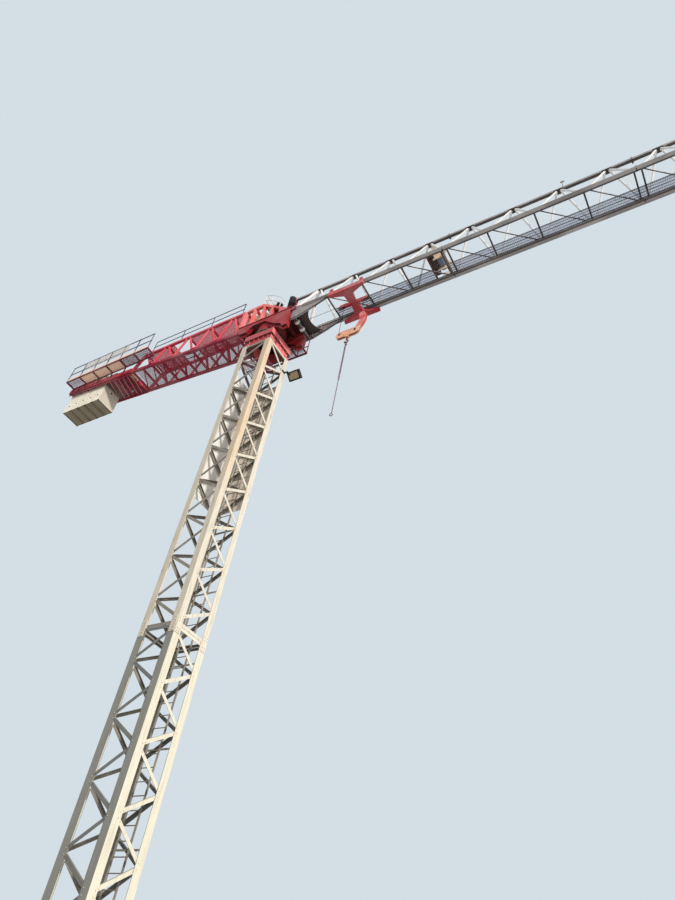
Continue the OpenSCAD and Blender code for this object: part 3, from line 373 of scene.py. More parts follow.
# %% The finishes
# The dark bar colour is painted shade on the mast's inner bars, and each side colour below is painted
# shade on faces that look to -Y.
SHADED_BAR = screen(0.42, 0.39, 0.35)
CREAM = worn_and_shaded("cream_paint", screen(0.94, 0.91, 0.82), rust=0.16, grime=0.20, fade=0.3,
                  side=0.85, side_shade_paint=screen(0.42, 0.43, 0.42),
                  tints=((shaded_side_braces, SHADED_BAR), (shaded_rear_braces, SHADED_BAR)))
BEIGE = worn_and_shaded("old_beige_paint", screen(0.93, 0.89, 0.81), rust=0.42, grime=0.24, fade=0.35,
                  side=0.35, side_shade_paint=screen(0.50, 0.45, 0.38),
                  tints=((near_corner, screen(0.94, 0.83, 0.69)), (shaded_side_braces, SHADED_BAR),
                         (shaded_rear_braces, SHADED_BAR)))
BOARD = worn_and_shaded("pale_board", screen(1.0, 0.99, 0.97), rust=0.03, grime=0.08, fade=0.2, scale=0.7,
                  under=0.2,
                  side=0.7, side_shade_paint=screen(0.90, 0.83, 0.75), depth=0.0001)
RED = worn_and_shaded("faded_red_paint", screen(0.84, 0.20, 0.26), rust=0.08, grime=0.16, fade=0.35, under=0.4,
                tints=((head_back, screen(0.98, 0.46, 0.44)),))
# This lighter pink is painted sunlight on the support frame, and its side colour is painted shade.
SALMON = worn_and_shaded("sunlit_red_paint", screen(1.0, 0.53, 0.54), rust=0.10, grime=0.18, fade=0.3,
                   under=0.85,
                   side=0.8, side_shade_paint=screen(0.66, 0.24, 0.27))
CRIMSON = worn_and_shaded("crimson_paint", screen(0.62, 0.05, 0.20), rust=0.06, grime=0.14, fade=0.18,
                    under=0.3,
                    tints=((over_floor, screen(0.88, 0.25, 0.32)),))
# The top walkway's mesh has a lighter pink and no shade below: painted light that stands in for the light
# that reaches it from below.
MESH_RED = worn_and_shaded("pink_mesh_paint", screen(0.93, 0.30, 0.38), rust=0.05, grime=0.08, fade=0.1,
                     under=0.0)
DEEP_RED = worn_and_shaded("deep_red_paint", screen(0.64, 0.05, 0.11), rust=0.08, grime=0.16, fade=0.15,
                     under=0.85)
# On the jib, faces that look down get painted shade with some soot, but only inside the outer edges of
# the bottom chords.
JIB_GREY = worn_and_shaded("jib_paint", screen(0.61, 0.58, 0.57), rust=0.20, grime=0.22, fade=0.5, under=0.8,
                     tints=((between_chords, screen(0.96, 0.95, 0.94)),), soot_and_shade_below=inner_flank)
JIB_DARK = worn_and_shaded("jib_dark_paint", screen(0.56, 0.51, 0.51), rust=0.26, grime=0.36, fade=0.35,
                     under=0.85)
WHITE = worn_and_shaded("white_rail_paint", screen(0.93, 0.93, 0.92), rust=0.12, grime=0.16, fade=0.2,
                  under=0.1)
NAVY = worn_and_shaded("dark_blue_paint", screen(0.13, 0.15, 0.25), rust=0.12, grime=0.2, fade=0.3)
PLUM = worn_and_shaded("dark_red_frame_paint", screen(0.50, 0.10, 0.26), rust=0.10, grime=0.2, fade=0.2)
PANEL = worn_and_shaded("beige_panel_paint", screen(1.0, 0.87, 0.76), rust=0.10, grime=0.04, fade=0.15,
                  scale=1.6,
                  under=0.0)
CABINET = worn_and_shaded("cabinet_paint", screen(0.95, 0.87, 0.74), rust=0.20, grime=0.20, fade=0.3, scale=1.4)
BLACK = worn_and_shaded("black_coat", screen(0.07, 0.07, 0.08), rust=0.05, grime=0.08, fade=0.05, scale=2.0,
                  gloss=0.15)
DRIVE = worn_and_shaded("drive_paint", screen(0.72, 0.16, 0.20), rust=0.06, grime=0.1, fade=0.06, scale=2.0,
                  gloss=0.15,
                  tints=((above(TURRET_HIGH.z + 0.42), screen(0.05, 0.05, 0.06)),))
BROWN = worn_and_shaded("brown_winch_paint", screen(0.34, 0.24, 0.18), rust=0.3, grime=0.4, fade=0.3, scale=1.6)
WINCH = worn_and_shaded("winch_paint", screen(0.93, 0.86, 0.78), rust=0.3, grime=0.3, fade=0.3, scale=1.6,
                  under=0.55,
                  tints=((winch_foot, screen(0.40, 0.10, 0.14)),))
ORANGE = worn_and_shaded("faded_orange_paint", screen(0.97, 0.71, 0.56), rust=0.34, grime=0.3, fade=0.5,
                   scale=3.0,
                   under=0.2, tints=((above(BLOCK_LOW.z + 0.34), screen(0.88, 0.34, 0.31)),))
FORGED = worn_and_shaded("forged_steel", screen(0.50, 0.22, 0.16), rust=0.5, grime=0.4, fade=0.2, scale=4.0)
STEEL = metal("greased_steel", screen(0.46, 0.45, 0.43), screen(0.22, 0.20, 0.18), metallic=0.7)
ZINC = metal("galvanised_steel", screen(0.60, 0.62, 0.70), screen(0.42, 0.44, 0.52), metallic=0.4)
BOLT = metal("dark_bolt_steel", screen(0.38, 0.35, 0.32), screen(0.20, 0.16, 0.13), scale=4.0)
ROPE = metal("greased_rope", screen(0.30, 0.29, 0.27), screen(0.12, 0.11, 0.10), scale=8.0, metallic=0.5)
CHAIN = metal("chain_steel", screen(0.62, 0.34, 0.38), screen(0.30, 0.14, 0.18), scale=6.0, metallic=0.5)
CABLE = metal("cable_sheath", screen(0.42, 0.30, 0.22), screen(0.20, 0.14, 0.11), scale=5.0, metallic=0.0)


def build_concrete():
    material, tree, shader = start_material("cast_concrete")
    spot = tree.add("ShaderNodeTexCoord").outputs["Object"]
    runs = tree.add("ShaderNodeMapping", {"Vector": spot, "Scale": (7.0, 7.0, 0.8)}).outputs[0]
    boards = tree.add("ShaderNodeTexWave", {"Vector": spot, "Scale": 1.6, "Distortion": 0.4},
                      bands_direction="Z").outputs["Fac"]
    pits = tree.add("ShaderNodeTexVoronoi", {"Vector": spot, "Scale": 34.0}).outputs["Distance"]
    broad = tree.noise(spot, 2.4, 6.0, 0.6)
    stain = tree.ramp(tree.noise(runs, 1.6, 5.0), 0.46, 0.70)
    tone = tree.mix(tree.ramp(broad, 0.3, 0.7), screen(1.0, 0.97, 0.90), screen(0.96, 0.92, 0.84))
    stained = tree.mix(tree.math("MULTIPLY", stain, 0.18), tone, screen(0.64, 0.54, 0.42))
    facing = tree.facing()
    # Faces that look along +X, towards the mast, get a darker colour: painted shade. Faces that look down
    # get a dark brown: painted shade.
    end_shaded = tree.mix(tree.ramp(facing["X"], 0.3, 0.9, 0.0, 0.4), stained, screen(0.50, 0.45, 0.37))
    under = tree.ramp(facing["Z"], -0.3, -0.9, 0.0, 0.85)
    colour = tree.mix(under, end_shaded, screen(0.40, 0.32, 0.19))
    low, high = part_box("ballast_slabs")
    along_row = tree.math("SUBTRACT", tree.add("ShaderNodeSeparateXYZ", {"Vector": spot}).outputs["X"],
                          low.x)
    # Narrow dark strips at each slab's edges, on faces that look down, are painted shade in the gaps
    # between the slabs.
    joint = tree.math("LESS_THAN", tree.math("PINGPONG", along_row, (high.x - low.x + 0.01) / 10), 0.055)
    colour = tree.mix(tree.math("MULTIPLY", joint, under), colour, screen(0.20, 0.12, 0.05))
    rough = tree.ramp(broad, 0.3, 0.7, 0.78, 0.94)
    height = tree.math("ADD", tree.ramp(pits, 0.0, 0.16, 0.0, 0.6), tree.math("MULTIPLY", boards, 0.4))
    finish_material(tree, shader, colour, rough, height, depth=0.004, strength=0.5)
    return material


def build_lamp_glass():
    material, tree, shader = start_material("lamp_glass")
    spot = tree.add("ShaderNodeTexCoord").outputs["Object"]
    cells = tree.add("ShaderNodeTexVoronoi", {"Vector": spot, "Scale": 30.0}).outputs["Distance"]
    colour = tree.mix(tree.ramp(cells, 0.0, 0.5), screen(0.86, 0.78, 0.64), screen(0.66, 0.56, 0.44))
    finish_material(tree, shader, colour, tree.ramp(cells, 0.0, 0.5, 0.08, 0.2), cells, depth=0.001)
    return material


CONCRETE = build_concrete()
LAMP_GLASS = build_lamp_glass()


def jib_nodes(ending):
    return [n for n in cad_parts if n.startswith("jib_") and n.endswith(ending)]


NODE_FINISH = {
    CREAM: ["base_frame", "lower_mast_left_side", "lower_mast_right_side",
            "lower_mast_front_bracing", "lower_mast_rear_bracing"],
    BEIGE: ["upper_mast_left_side", "upper_mast_right_side",
            "upper_mast_front_bracing", "upper_mast_rear_bracing", "mast_ladder"],
    BOARD: ["rear_board", "left_board"],
    BLACK: ["floodlight", "hoist_motor"],
    DRIVE: ["slewing_drives"],
    WINCH: ["trolley_winch"],
    SALMON: ["support_frame"],
    RED: ["turret_head", "trolley_frame"],
    CRIMSON: ["counter_jib_left_side", "counter_jib_right_side", "counter_jib_floor",
              "counter_jib_top_bracing", "rear_frame", "hoist_winch_frame"],
    DEEP_RED: ["turret_frame", "service_platform"],
    STEEL: ["ring_gear", "slewing_ring", "trolley_wheels", "trolley_sheaves", "hook_sheaves",
            "hoist_drum"],
    CABINET: ["control_cabinets"],
    WHITE: ["guard_cage"],
    PLUM: ["side_walkway"],
    NAVY: ["walkway_rail", "counter_jib_rail"],
    CONCRETE: ["ballast_slabs"],
    JIB_GREY: jib_nodes("_side"),
    JIB_DARK: ["jib_tip", "jib_foot"] + jib_nodes("_floor"),
    ZINC: ["jib_walkway"],
    ROPE: ["hoist_rope", "rope_falls"],
    ORANGE: ["hook_block"],
    FORGED: ["hook"],
    CHAIN: ["chain_sling"],
}
for finish, names in NODE_FINISH.items():
    for name in names:
        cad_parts[name].data.materials.clear()
        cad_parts[name].data.materials.append(finish)
bare = [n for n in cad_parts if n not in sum(NODE_FINISH.values(), [])]
print("nodes without a finish:", bare)

# %% [markdown]
# The camera stands on the ground, close to the mast, and looks up along it, so the
# uprights lean together towards a point high in the picture. Its place and its two
# directions come from that point and from the angle between the jib and the view.

# %% The camera
CAMERA_PLACE = Vector((12.42, -11.26, 1.6))
FOCAL_PX = 700.0
IMAGE_W, IMAGE_H = 675.0, 900.0
ZENITH_PX = (475.5, -290.0)
JIB_YAW = math.radians(126.9)

# Directions in the picture's own axes: x right, y down and z into the picture
zenith = Vector((ZENITH_PX[0] - IMAGE_W / 2, ZENITH_PX[1] - IMAGE_H / 2, FOCAL_PX)).normalized()
ahead = (Vector((0, 0, 1)) - zenith * zenith.z).normalized()
side = ahead.cross(zenith)
level_side = Vector((math.sin(JIB_YAW), -math.cos(JIB_YAW), 0))
level_ahead = Vector((math.cos(JIB_YAW), math.sin(JIB_YAW), 0))


def picture_axis(index):
    return level_side * side[index] + level_ahead * ahead[index] + Vector((0, 0, 1)) * zenith[index]


right, down, into = (picture_axis(i) for i in range(3))
lens = bpy.data.cameras.new("ground_camera")
lens.sensor_width = 36.0
lens.lens = FOCAL_PX * lens.sensor_width / IMAGE_H
lens.clip_end = 500.0
camera = bpy.data.objects.new("ground_camera", lens)
bpy.context.scene.collection.objects.link(camera)
camera.matrix_world = Matrix.Translation(CAMERA_PLACE) @ Matrix((right, -down,
                                                                 -into)).transposed().to_4x4()
bpy.context.scene.camera = camera
print("camera looks", [round(v, 3) for v in into])

# %% [markdown]
# The studio is a pale floor, an even pale surround and one soft lamp. The lamp is low and
# stands in front of the jib, a little to its right, because in the picture the faces that
# look along the jib are the brightest and the ones towards the camera come next.

# %% The studio
scene = bpy.context.scene
scene.view_settings.view_transform = "Standard"
world = bpy.data.worlds.new("studio")
scene.world = world
world.use_nodes = True
sky = NodeTree(world.node_tree)
for node in list(world.node_tree.nodes):
    world.node_tree.nodes.remove(node)
rays = sky.add("ShaderNodeLightPath")
seen = sky.math("MAXIMUM", rays.outputs["Is Camera Ray"],
                sky.math("MAXIMUM", rays.outputs["Is Glossy Ray"], rays.outputs["Is Transmission Ray"]))
SOFT_STRENGTH, BACKDROP_STRENGTH = 0.60, 1.0
soft = sky.add("ShaderNodeBackground", {"Color": (0.90, 0.95, 1.0, 1.0), "Strength": SOFT_STRENGTH})
backdrop = sky.add("ShaderNodeBackground", {"Color": screen(0.83, 0.87, 0.90),
                                            "Strength": BACKDROP_STRENGTH})
both = sky.add("ShaderNodeMixShader", {0: seen, 1: soft.outputs[0], 2: backdrop.outputs[0]})
sky.add("ShaderNodeOutputWorld", {"Surface": both.outputs[0]})

SUN_ENERGY, SUN_SPREAD = 2.35, math.radians(5)
lamp = bpy.data.lights.new("soft_sun", "SUN")
lamp.energy = SUN_ENERGY
lamp.angle = SUN_SPREAD
lamp.color = (1.0, 0.95, 0.88)
sun = bpy.data.objects.new("soft_sun", lamp)
scene.collection.objects.link(sun)
SUN_FROM = Vector((0.84, -0.46, 0.29))
sun.rotation_mode = "QUATERNION"
sun.rotation_quaternion = SUN_FROM.to_track_quat("Z", "Y")

FLOOR_SIZE = 260.0
bm = bmesh.new()
bmesh.ops.create_grid(bm, x_segments=1, y_segments=1, size=FLOOR_SIZE / 2)
floor_mesh = bpy.data.meshes.new("floor")
bm.to_mesh(floor_mesh)
bm.free()
floor = bpy.data.objects.new("floor", floor_mesh)
scene.collection.objects.link(floor)
floor_paint, _, floor_shader = start_material("pale_floor")
floor_shader.inputs["Base Color"].default_value = screen(0.86, 0.86, 0.85)
floor_shader.inputs["Roughness"].default_value = 0.9
floor_mesh.materials.append(floor_paint)
print("studio ready")

# %% [markdown]
# Small helpers place bars, rods, plates and bolts. Each starts from a bmesh create
# operator, with a matrix that carries the shape from the origin to where it belongs.

# %% Bars, rods, plates and bolts
def carry(start, end):
    start, end = Vector(start), Vector(end)
    axis = end - start
    turn = axis.to_track_quat("Z", "Y").to_matrix().to_4x4()
    return Matrix.Translation((start + end) / 2) @ turn, axis.length


def add_rod(bm, start, end, diameter, sides=8):
    matrix, length = carry(start, end)
    bmesh.ops.create_cone(bm, cap_ends=True, segments=sides, radius1=diameter / 2,
                          radius2=diameter / 2, depth=length, matrix=matrix)


def add_bar(bm, start, end, width, depth):
    matrix, length = carry(start, end)
    bmesh.ops.create_cube(bm, size=1.0, matrix=matrix @ Matrix.Diagonal((width, depth, length, 1.0)))


def add_plate(bm, corner, opposite):
    """A box between any two opposite corners; returns its vertices."""
    low, high = Vector(map(min, corner, opposite)), Vector(map(max, corner, opposite))
    size = high - low
    matrix = Matrix.Translation((low + high) / 2) @ Matrix.Diagonal((*size, 1.0))
    return bmesh.ops.create_cube(bm, size=1.0, matrix=matrix)["verts"]


USUAL_BOLT = 0.012


def add_bolt(bm, seat, axis, size=USUAL_BOLT):
    """A hexagon head on a washer that stands on seat and points along axis."""
    axis = Vector(axis).normalized()
    seat = Vector(seat)
    washer = size * 0.25
    for sides, radius, low, high in ((10, 1.15, 0.0, washer), (6, 0.95, washer, washer + size * 0.75)):
        matrix, length = carry(seat + axis * low, seat + axis * high)
        bmesh.ops.create_cone(bm, cap_ends=True, segments=sides, radius1=size * radius,
                              radius2=size * radius, depth=length, matrix=matrix)


def finish_piece(name, bm, material, body="slewing_part", smooth=False, bevel=0.0):
    """Turns the mesh into a piece that rides on a body; most pieces turn with the jibs."""
    bmesh.ops.recalc_face_normals(bm, faces=bm.faces)
    mesh = bpy.data.meshes.new(name)
    bm.to_mesh(mesh)
    bm.free()
    mesh.materials.append(material)
    if smooth:
        mesh.shade_smooth()
        mesh.set_sharp_from_angle(angle=math.radians(38))
    piece = bpy.data.objects.new(name, mesh)
    scene.collection.objects.link(piece)
    if bevel:
        edge = piece.modifiers.new("edge", "BEVEL")
        edge.width = bevel
        edge.segments = 2
        edge.limit_method = "ANGLE"
    if body:
        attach(piece, body)
    print(f"{name}: {len(mesh.polygons)} faces on {body}")
    return piece


# %% [markdown]
# Round parts that repeat, such as chain links and rope turns, are made once by spinning a
# small circle. Copies are then stamped into the piece that they belong to.

# %% Rings and stamps
def ring_mesh(radius, wire, turns=16, sides=6, stretch=0.0):
    """A ring about Z, pulled apart along Y by stretch, as a chain link is."""
    bm = bmesh.new()
    matrix = Matrix.Translation((radius, 0, 0)) @ Matrix.Rotation(math.pi / 2, 4, "X")
    made = bmesh.ops.create_circle(bm, segments=sides, radius=wire, matrix=matrix)["verts"]
    turn = Matrix.Rotation(math.pi / turns, 3, "Z")
    bmesh.ops.rotate(bm, verts=made, cent=(0, 0, 0), matrix=turn)
    bmesh.ops.spin(bm, geom=bm.verts[:] + bm.edges[:], cent=(0, 0, 0), axis=(0, 0, 1),
                   angle=math.tau, steps=turns, use_merge=True)
    bmesh.ops.remove_doubles(bm, verts=bm.verts, dist=1e-5)
    for vert in bm.verts:
        vert.co.y += math.copysign(stretch / 2, vert.co.y)
    mesh = bpy.data.meshes.new("stamp")
    bm.to_mesh(mesh)
    bm.free()
    return mesh


def stamp(bm, mesh, matrix):
    first = len(bm.verts)
    bm.from_mesh(mesh)
    bm.verts.ensure_lookup_table()
    bmesh.ops.transform(bm, matrix=matrix, verts=bm.verts[first:])


TURN_X = Matrix.Rotation(math.pi / 2, 4, "X")


def stamp_upright(bm, mesh, x, y, z):
    """Stamps a ring that lies about Z so that it stands about Y."""
    stamp(bm, mesh, Matrix.Translation((x, y, z)) @ TURN_X)


def around(count):
    """Level directions, evenly spread over a full turn."""
    for i in range(count):
        angle = math.tau * i / count
        yield Vector((math.cos(angle), math.sin(angle), 0))


KEEPER_UP = 0.055
KEEPER_HALF = 0.05
KEEPER_BOLT = 0.035


def add_pin_cap(bm, pin, way, cap, wide, keeper, bolt):
    """A round cap on a pin along Y, with a keeper bar over it and the bar's two bolts.

    cap is the cap's start and end along Y; keeper and bolt are distance out and size.
    """
    x, face, z = pin
    up = z + KEEPER_UP
    bar_y = face + way * keeper[0]
    add_rod(bm, (x, cap[0], z), (x, cap[1], z), wide, 20)
    add_bar(bm, (x - KEEPER_HALF, bar_y, up), (x + KEEPER_HALF, bar_y, up), keeper[1], 0.008)
    for k in (-KEEPER_BOLT, KEEPER_BOLT):
        add_bolt(bm, (x + k, face + way * bolt[0], up), (0, way, 0), bolt[1])


# %% [markdown]
# The mast comes in sections. Where two meet, thick splice plates are bolted over the
# corner angles. Every zigzag bar is held to an angle by two bolts at each end. The
# positions follow the bar's own line, so the heads sit where the bar lies behind the leg.

# %% Mast splices and bolts
LOWER_BARS, UPPER_BARS = 13, 16
END_GAP = 0.13
LEG_JOINT = 0.06
STEP = (JOINT_Z - FOOT_TOP - 2 * END_GAP) / LOWER_BARS
LOW_FIRST = FOOT_TOP + END_GAP
UP_FIRST = JOINT_Z + END_GAP + LEG_JOINT
FACES = [("right", 0, -1, 1), ("front", 90, 1, -1), ("left", 180, -1, 1), ("rear", 270, 1, -1)]


def face_point(turn, across, height, out):
    """A point of a mast face that looks along -Y before it is turned about Z."""
    return Matrix.Rotation(math.radians(turn), 3, "Z") @ Vector((across, -HALF - out, height))


def face_axis(turn):
    return Matrix.Rotation(math.radians(turn), 3, "Z") @ Vector((0, -1, 0))


lower_bolts, upper_bolts, splices = bmesh.new(), bmesh.new(), bmesh.new()
BOLT_SHARES = (0.085, 0.145, 0.855, 0.915)
SPLICE_HIGH, SPLICE_WIDE, SPLICE_THICK = 0.44, 0.17, 0.016
for face, turn, upper_side, lower_side in FACES:
    spin = Matrix.Rotation(math.radians(turn), 4, "Z")
    sections = ((lower_bolts, LOW_FIRST, LOWER_BARS, lower_side),
                (upper_bolts, UP_FIRST, UPPER_BARS, upper_side))
    for bolts, first, bars, way in sections:
        for i in range(bars):
            lean = way if i % 2 == 0 else -way
            for share in BOLT_SHARES:
                across = lean * (HALF - 0.07) * (2 * share - 1)
                add_bolt(bolts, face_point(turn, across, first + (i + share) * STEP, 0.0),
                         face_axis(turn))
    for corner in (-1, 1):
        middle = corner * (HALF - SPLICE_WIDE / 2 - 0.015)
        low = (middle - SPLICE_WIDE / 2, -HALF - SPLICE_THICK, JOINT_Z - SPLICE_HIGH / 2)
        high = (middle + SPLICE_WIDE / 2, -HALF, JOINT_Z + SPLICE_HIGH / 2)
        bmesh.ops.transform(splices, matrix=spin, verts=add_plate(splices, low, high))
        for row in (-0.17, -0.10, 0.10, 0.17):
            for column in (-0.04, 0.04):
                add_bolt(upper_bolts, face_point(turn, middle + column, JOINT_Z + row, SPLICE_THICK),
                         face_axis(turn), 0.016)
finish_piece("mast_splice_plates", splices, BEIGE, "tower", bevel=0.004)
finish_piece("lower_mast_bolts", lower_bolts, CREAM, "tower")
finish_piece("upper_mast_bolts", upper_bolts, BEIGE, "tower")

# %% [markdown]
# A rest platform closes the mast near its top. Gratings are made of real flat bars: a
# frame, bearing bars one way and thin rods the other way.

# %% Gratings and the rest platform
def add_grating(bm, low, high, pitch=0.045, cross=0.12, thick=0.005):
    """Bearing bars along X and rods along Y inside a frame; low and high are corners."""
    low, high = Vector(low), Vector(high)
    depth = high.z - low.z
    for y in (low.y, high.y - thick):
        add_plate(bm, (low.x, y, low.z), (high.x, y + thick, high.z))
    for x in (low.x, high.x - thick):
        add_plate(bm, (x, low.y, low.z), (x + thick, high.y, high.z))
    rows = int((high.y - low.y) / pitch)
    for i in range(1, rows):
        y = low.y + (high.y - low.y) * i / rows
        add_plate(bm, (low.x, y - thick / 2, low.z), (high.x, y + thick / 2, high.z))
    columns = int((high.x - low.x) / cross)
    for i in range(1, columns):
        x = low.x + (high.x - low.x) * i / columns
        add_plate(bm, (x - thick / 2, low.y, high.z - depth * 0.3), (x + thick / 2, high.y, high.z))


REST_Z = MAST_TOP - 0.88
REST_IN = HALF - 0.09
rest = bmesh.new()
add_grating(rest, (-REST_IN, -REST_IN, REST_Z), (REST_IN, 0.18, REST_Z + 0.03))
for y in (-REST_IN, -0.15, 0.15):
    add_plate(rest, (-REST_IN, y, REST_Z - 0.05), (REST_IN, y + 0.03, REST_Z))
finish_piece("mast_rest_platform", rest, PLUM, "tower")

# %% [markdown]
# The two blank boards are held by rows of bolts. A stiff cable duct with clips runs up
# inside the front right leg.

# %% Boards and the cable duct
BOLT_IN, BOARD_ROWS = 0.25, 5
board_bolts = bmesh.new()
for name in ("rear_board", "left_board"):
    low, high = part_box(name)
    rear = name == "rear_board"
    start, end = (low.y, high.y) if rear else (low.x, high.x)
    for k in range(1, BOARD_ROWS):
        z = low.z + (high.z - low.z) * k / BOARD_ROWS
        for spot in (start + BOLT_IN, end - BOLT_IN):
            seat = (low.x, spot, z) if rear else (spot, high.y, z)
            add_bolt(board_bolts, seat, (-1, 0, 0) if rear else (0, 1, 0))
finish_piece("board_bolts", board_bolts, BOLT, "tower")

duct = bmesh.new()
DUCT = (HALF - 0.05, -HALF + 0.12)
CLIP_HALF = 0.024
add_rod(duct, (*DUCT, FOOT_TOP + 1.0), (*DUCT, MAST_TOP - 0.1), 0.034, 10)
for i in range(int((MAST_TOP - FOOT_TOP - 1.3) / STEP)):
    z = FOOT_TOP + 1.2 + i * STEP
    add_plate(duct, (DUCT[0] - CLIP_HALF, DUCT[1] - CLIP_HALF, z),
              (HALF - 0.014, DUCT[1] + CLIP_HALF, z + 0.03))
finish_piece("cable_duct", duct, CABLE, "tower", smooth=True)

# %% [markdown]
# The square support frame gets ribs under its upper band and bolts in its shoes. The
# slewing ring has a circle of bolts that hold the turret.

# %% Support frame and slewing ring
SUPPORT_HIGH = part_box("support_frame")[1]
BAND = 0.26
RECESS = 0.08
ribs, shoe_bolts = bmesh.new(), bmesh.new()
band_low = SUPPORT_HIGH.z - BAND
for turn in (0, 90, 180, 270):
    spin = Matrix.Rotation(math.radians(turn), 4, "Z")
    for across in (-0.40, -0.20, 0.0, 0.20, 0.40):
        low = (across - 0.006, -SUPPORT_HIGH.x + 0.01, band_low - 0.16)
        high = (across + 0.006, -SUPPORT_HIGH.x + RECESS + 0.005, band_low)
        made = add_plate(ribs, low, high)
        for vert in made:
            if vert.co.z < band_low - 0.1 and vert.co.y < -SUPPORT_HIGH.x + 0.03:
                vert.co.y = -SUPPORT_HIGH.x + RECESS - 0.01
        bmesh.ops.transform(ribs, matrix=spin, verts=made)
    for across in (-HALF + 0.05, -HALF + 0.16, HALF - 0.16, HALF - 0.05):
        for up in (0.025, 0.065):
            seat = spin @ Vector((across, -HALF, MAST_TOP + up))
            add_bolt(shoe_bolts, seat, spin.to_3x3() @ Vector((0, -1, 0)))
finish_piece("support_ribs", ribs, RED, "tower")
finish_piece("support_bolts", shoe_bolts, BOLT, "tower")

RING_BOLTS = 36
ring_bolts = bmesh.new()
for spoke in around(RING_BOLTS):
    spot = spoke * (TURNING_HIGH.x - 0.024)
    spot.z = TURNING_HIGH.z - 0.03
    add_bolt(ring_bolts, spot, (0, 0, 1))
finish_piece("slewing_ring_bolts", ring_bolts, BOLT)

# %% [markdown]
# On the turret, narrow flange strips run along the edges of the side beams, and the jib's
# pins get caps, keeper plates and bolts.

# %% Turret flanges and pins
BEAM_Y = JIB_Y
HALF_LONG = -TURRET_LOW.x
KNEE_LOW = TURRET_LOW.z
UNDER = TURNING_HIGH.z
knee_line = [(0.33, UNDER + 0.22), (0.60, UNDER + 0.01), (HALF_LONG - 0.28, RING_LOW.z + 0.06),
             (HALF_LONG - 0.20, KNEE_LOW), (HALF_LONG, KNEE_LOW)]
rear_line = [(-HALF_LONG, TURRET_HIGH.z - 0.15), (-HALF_LONG + 0.12, UNDER + 0.20),
             (-HALF_LONG + 0.46, UNDER + 0.17),
             (-HALF_LONG + 0.60, TURRET_HIGH.z - 0.24)]
FLANGE_THICK, FLANGE_WIDE = 0.012, 0.23
flanges = bmesh.new()
for side_y in (-BEAM_Y, BEAM_Y):
    for line in (knee_line, rear_line):
        for (xa, za), (xb, zb) in zip(line, line[1:]):
            add_bar(flanges, (xa, side_y, za), (xb, side_y, zb), FLANGE_THICK, FLANGE_WIDE)
    top_z = TURRET_HIGH.z - FLANGE_THICK / 2
    add_bar(flanges, (-HALF_LONG, side_y, top_z), (HALF_LONG, side_y, top_z), FLANGE_WIDE, FLANGE_THICK)
    for x in (-0.86, -0.58, 0.30, 0.62, 0.94):
        outer = side_y + math.copysign(0.106, side_y)
        add_bar(flanges, (x, outer, TURRET_HIGH.z - 0.13), (x, outer, TURRET_HIGH.z - 0.012),
                0.012, 0.014)
finish_piece("turret_flanges", flanges, DEEP_RED)

PIN = Vector((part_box("jib_foot")[0].x + 0.07, 0, JIB_Z))
pins = bmesh.new()
for side_y in (-BEAM_Y, BEAM_Y):
    for way in (-1, 1):
        face = side_y + way * 0.091
        cap = (side_y + way * 0.078, face)
        add_pin_cap(pins, (PIN.x, face, PIN.z), way, cap, 0.082, (-0.006, 0.03), (-0.002, 0.010))
finish_piece("jib_pin_caps", pins, ZINC, smooth=True)

# %% [markdown]
# The beige cabinets show through the openings of the head. They get doors with folded
# frames, louvres, hinges and handles on both outer faces. Two small boxes stand on the head.

# %% Cabinet doors
CAB_LOW, CAB_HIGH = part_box("control_cabinets")
DOOR_OUT = 0.016
LOUVRES, LOUVRE_PITCH = 7, 0.026
doors, door_metal = bmesh.new(), bmesh.new()
for way, face, top in ((-1, CAB_LOW.y, CAB_HIGH.z), (1, CAB_HIGH.y, CAB_HIGH.z - 0.14)):
    middle = (CAB_LOW.x + CAB_HIGH.x) / 2
    for x_low, x_high in ((CAB_LOW.x + 0.02, middle - 0.006), (middle + 0.006, CAB_HIGH.x - 0.02)):
        z_low, z_high = CAB_LOW.z + 0.05, top - 0.03
        made = add_plate(doors, (x_low, face, z_low), (x_high, face + way * DOOR_OUT, z_high))
        skin = [f for f in {f for v in made for f in v.link_faces} if f.normal.y * way > 0.5]
        bmesh.ops.inset_region(doors, faces=skin, thickness=0.035, depth=-0.006)
        door_y = face + way * DOOR_OUT
        for k in range(LOUVRES):
            z = z_high - 0.10 - k * LOUVRE_PITCH
            add_bar(doors, (x_low + 0.06, door_y, z), (x_high - 0.06, door_y, z),
                    0.014, 0.010)
        for z in (z_low + 0.09, z_high - 0.09):
            add_rod(door_metal, (x_low + 0.008, face + way * 0.02, z - 0.03),
                    (x_low + 0.008, face + way * 0.02, z + 0.03), 0.014, 8)
        add_bar(door_metal, (x_high - 0.02, face + way * 0.024, (z_low + z_high) / 2 - 0.05),
                (x_high - 0.02, face + way * 0.024, (z_low + z_high) / 2 + 0.05), 0.014, 0.016)
    add_plate(doors, (CAB_LOW.x - 0.02, face + way * 0.02, top),
              (CAB_HIGH.x + 0.02, face - way * 0.34, top + 0.012))
finish_piece("cabinet_doors", doors, CABINET, bevel=0.003)
finish_piece("cabinet_handles", door_metal, BOLT)

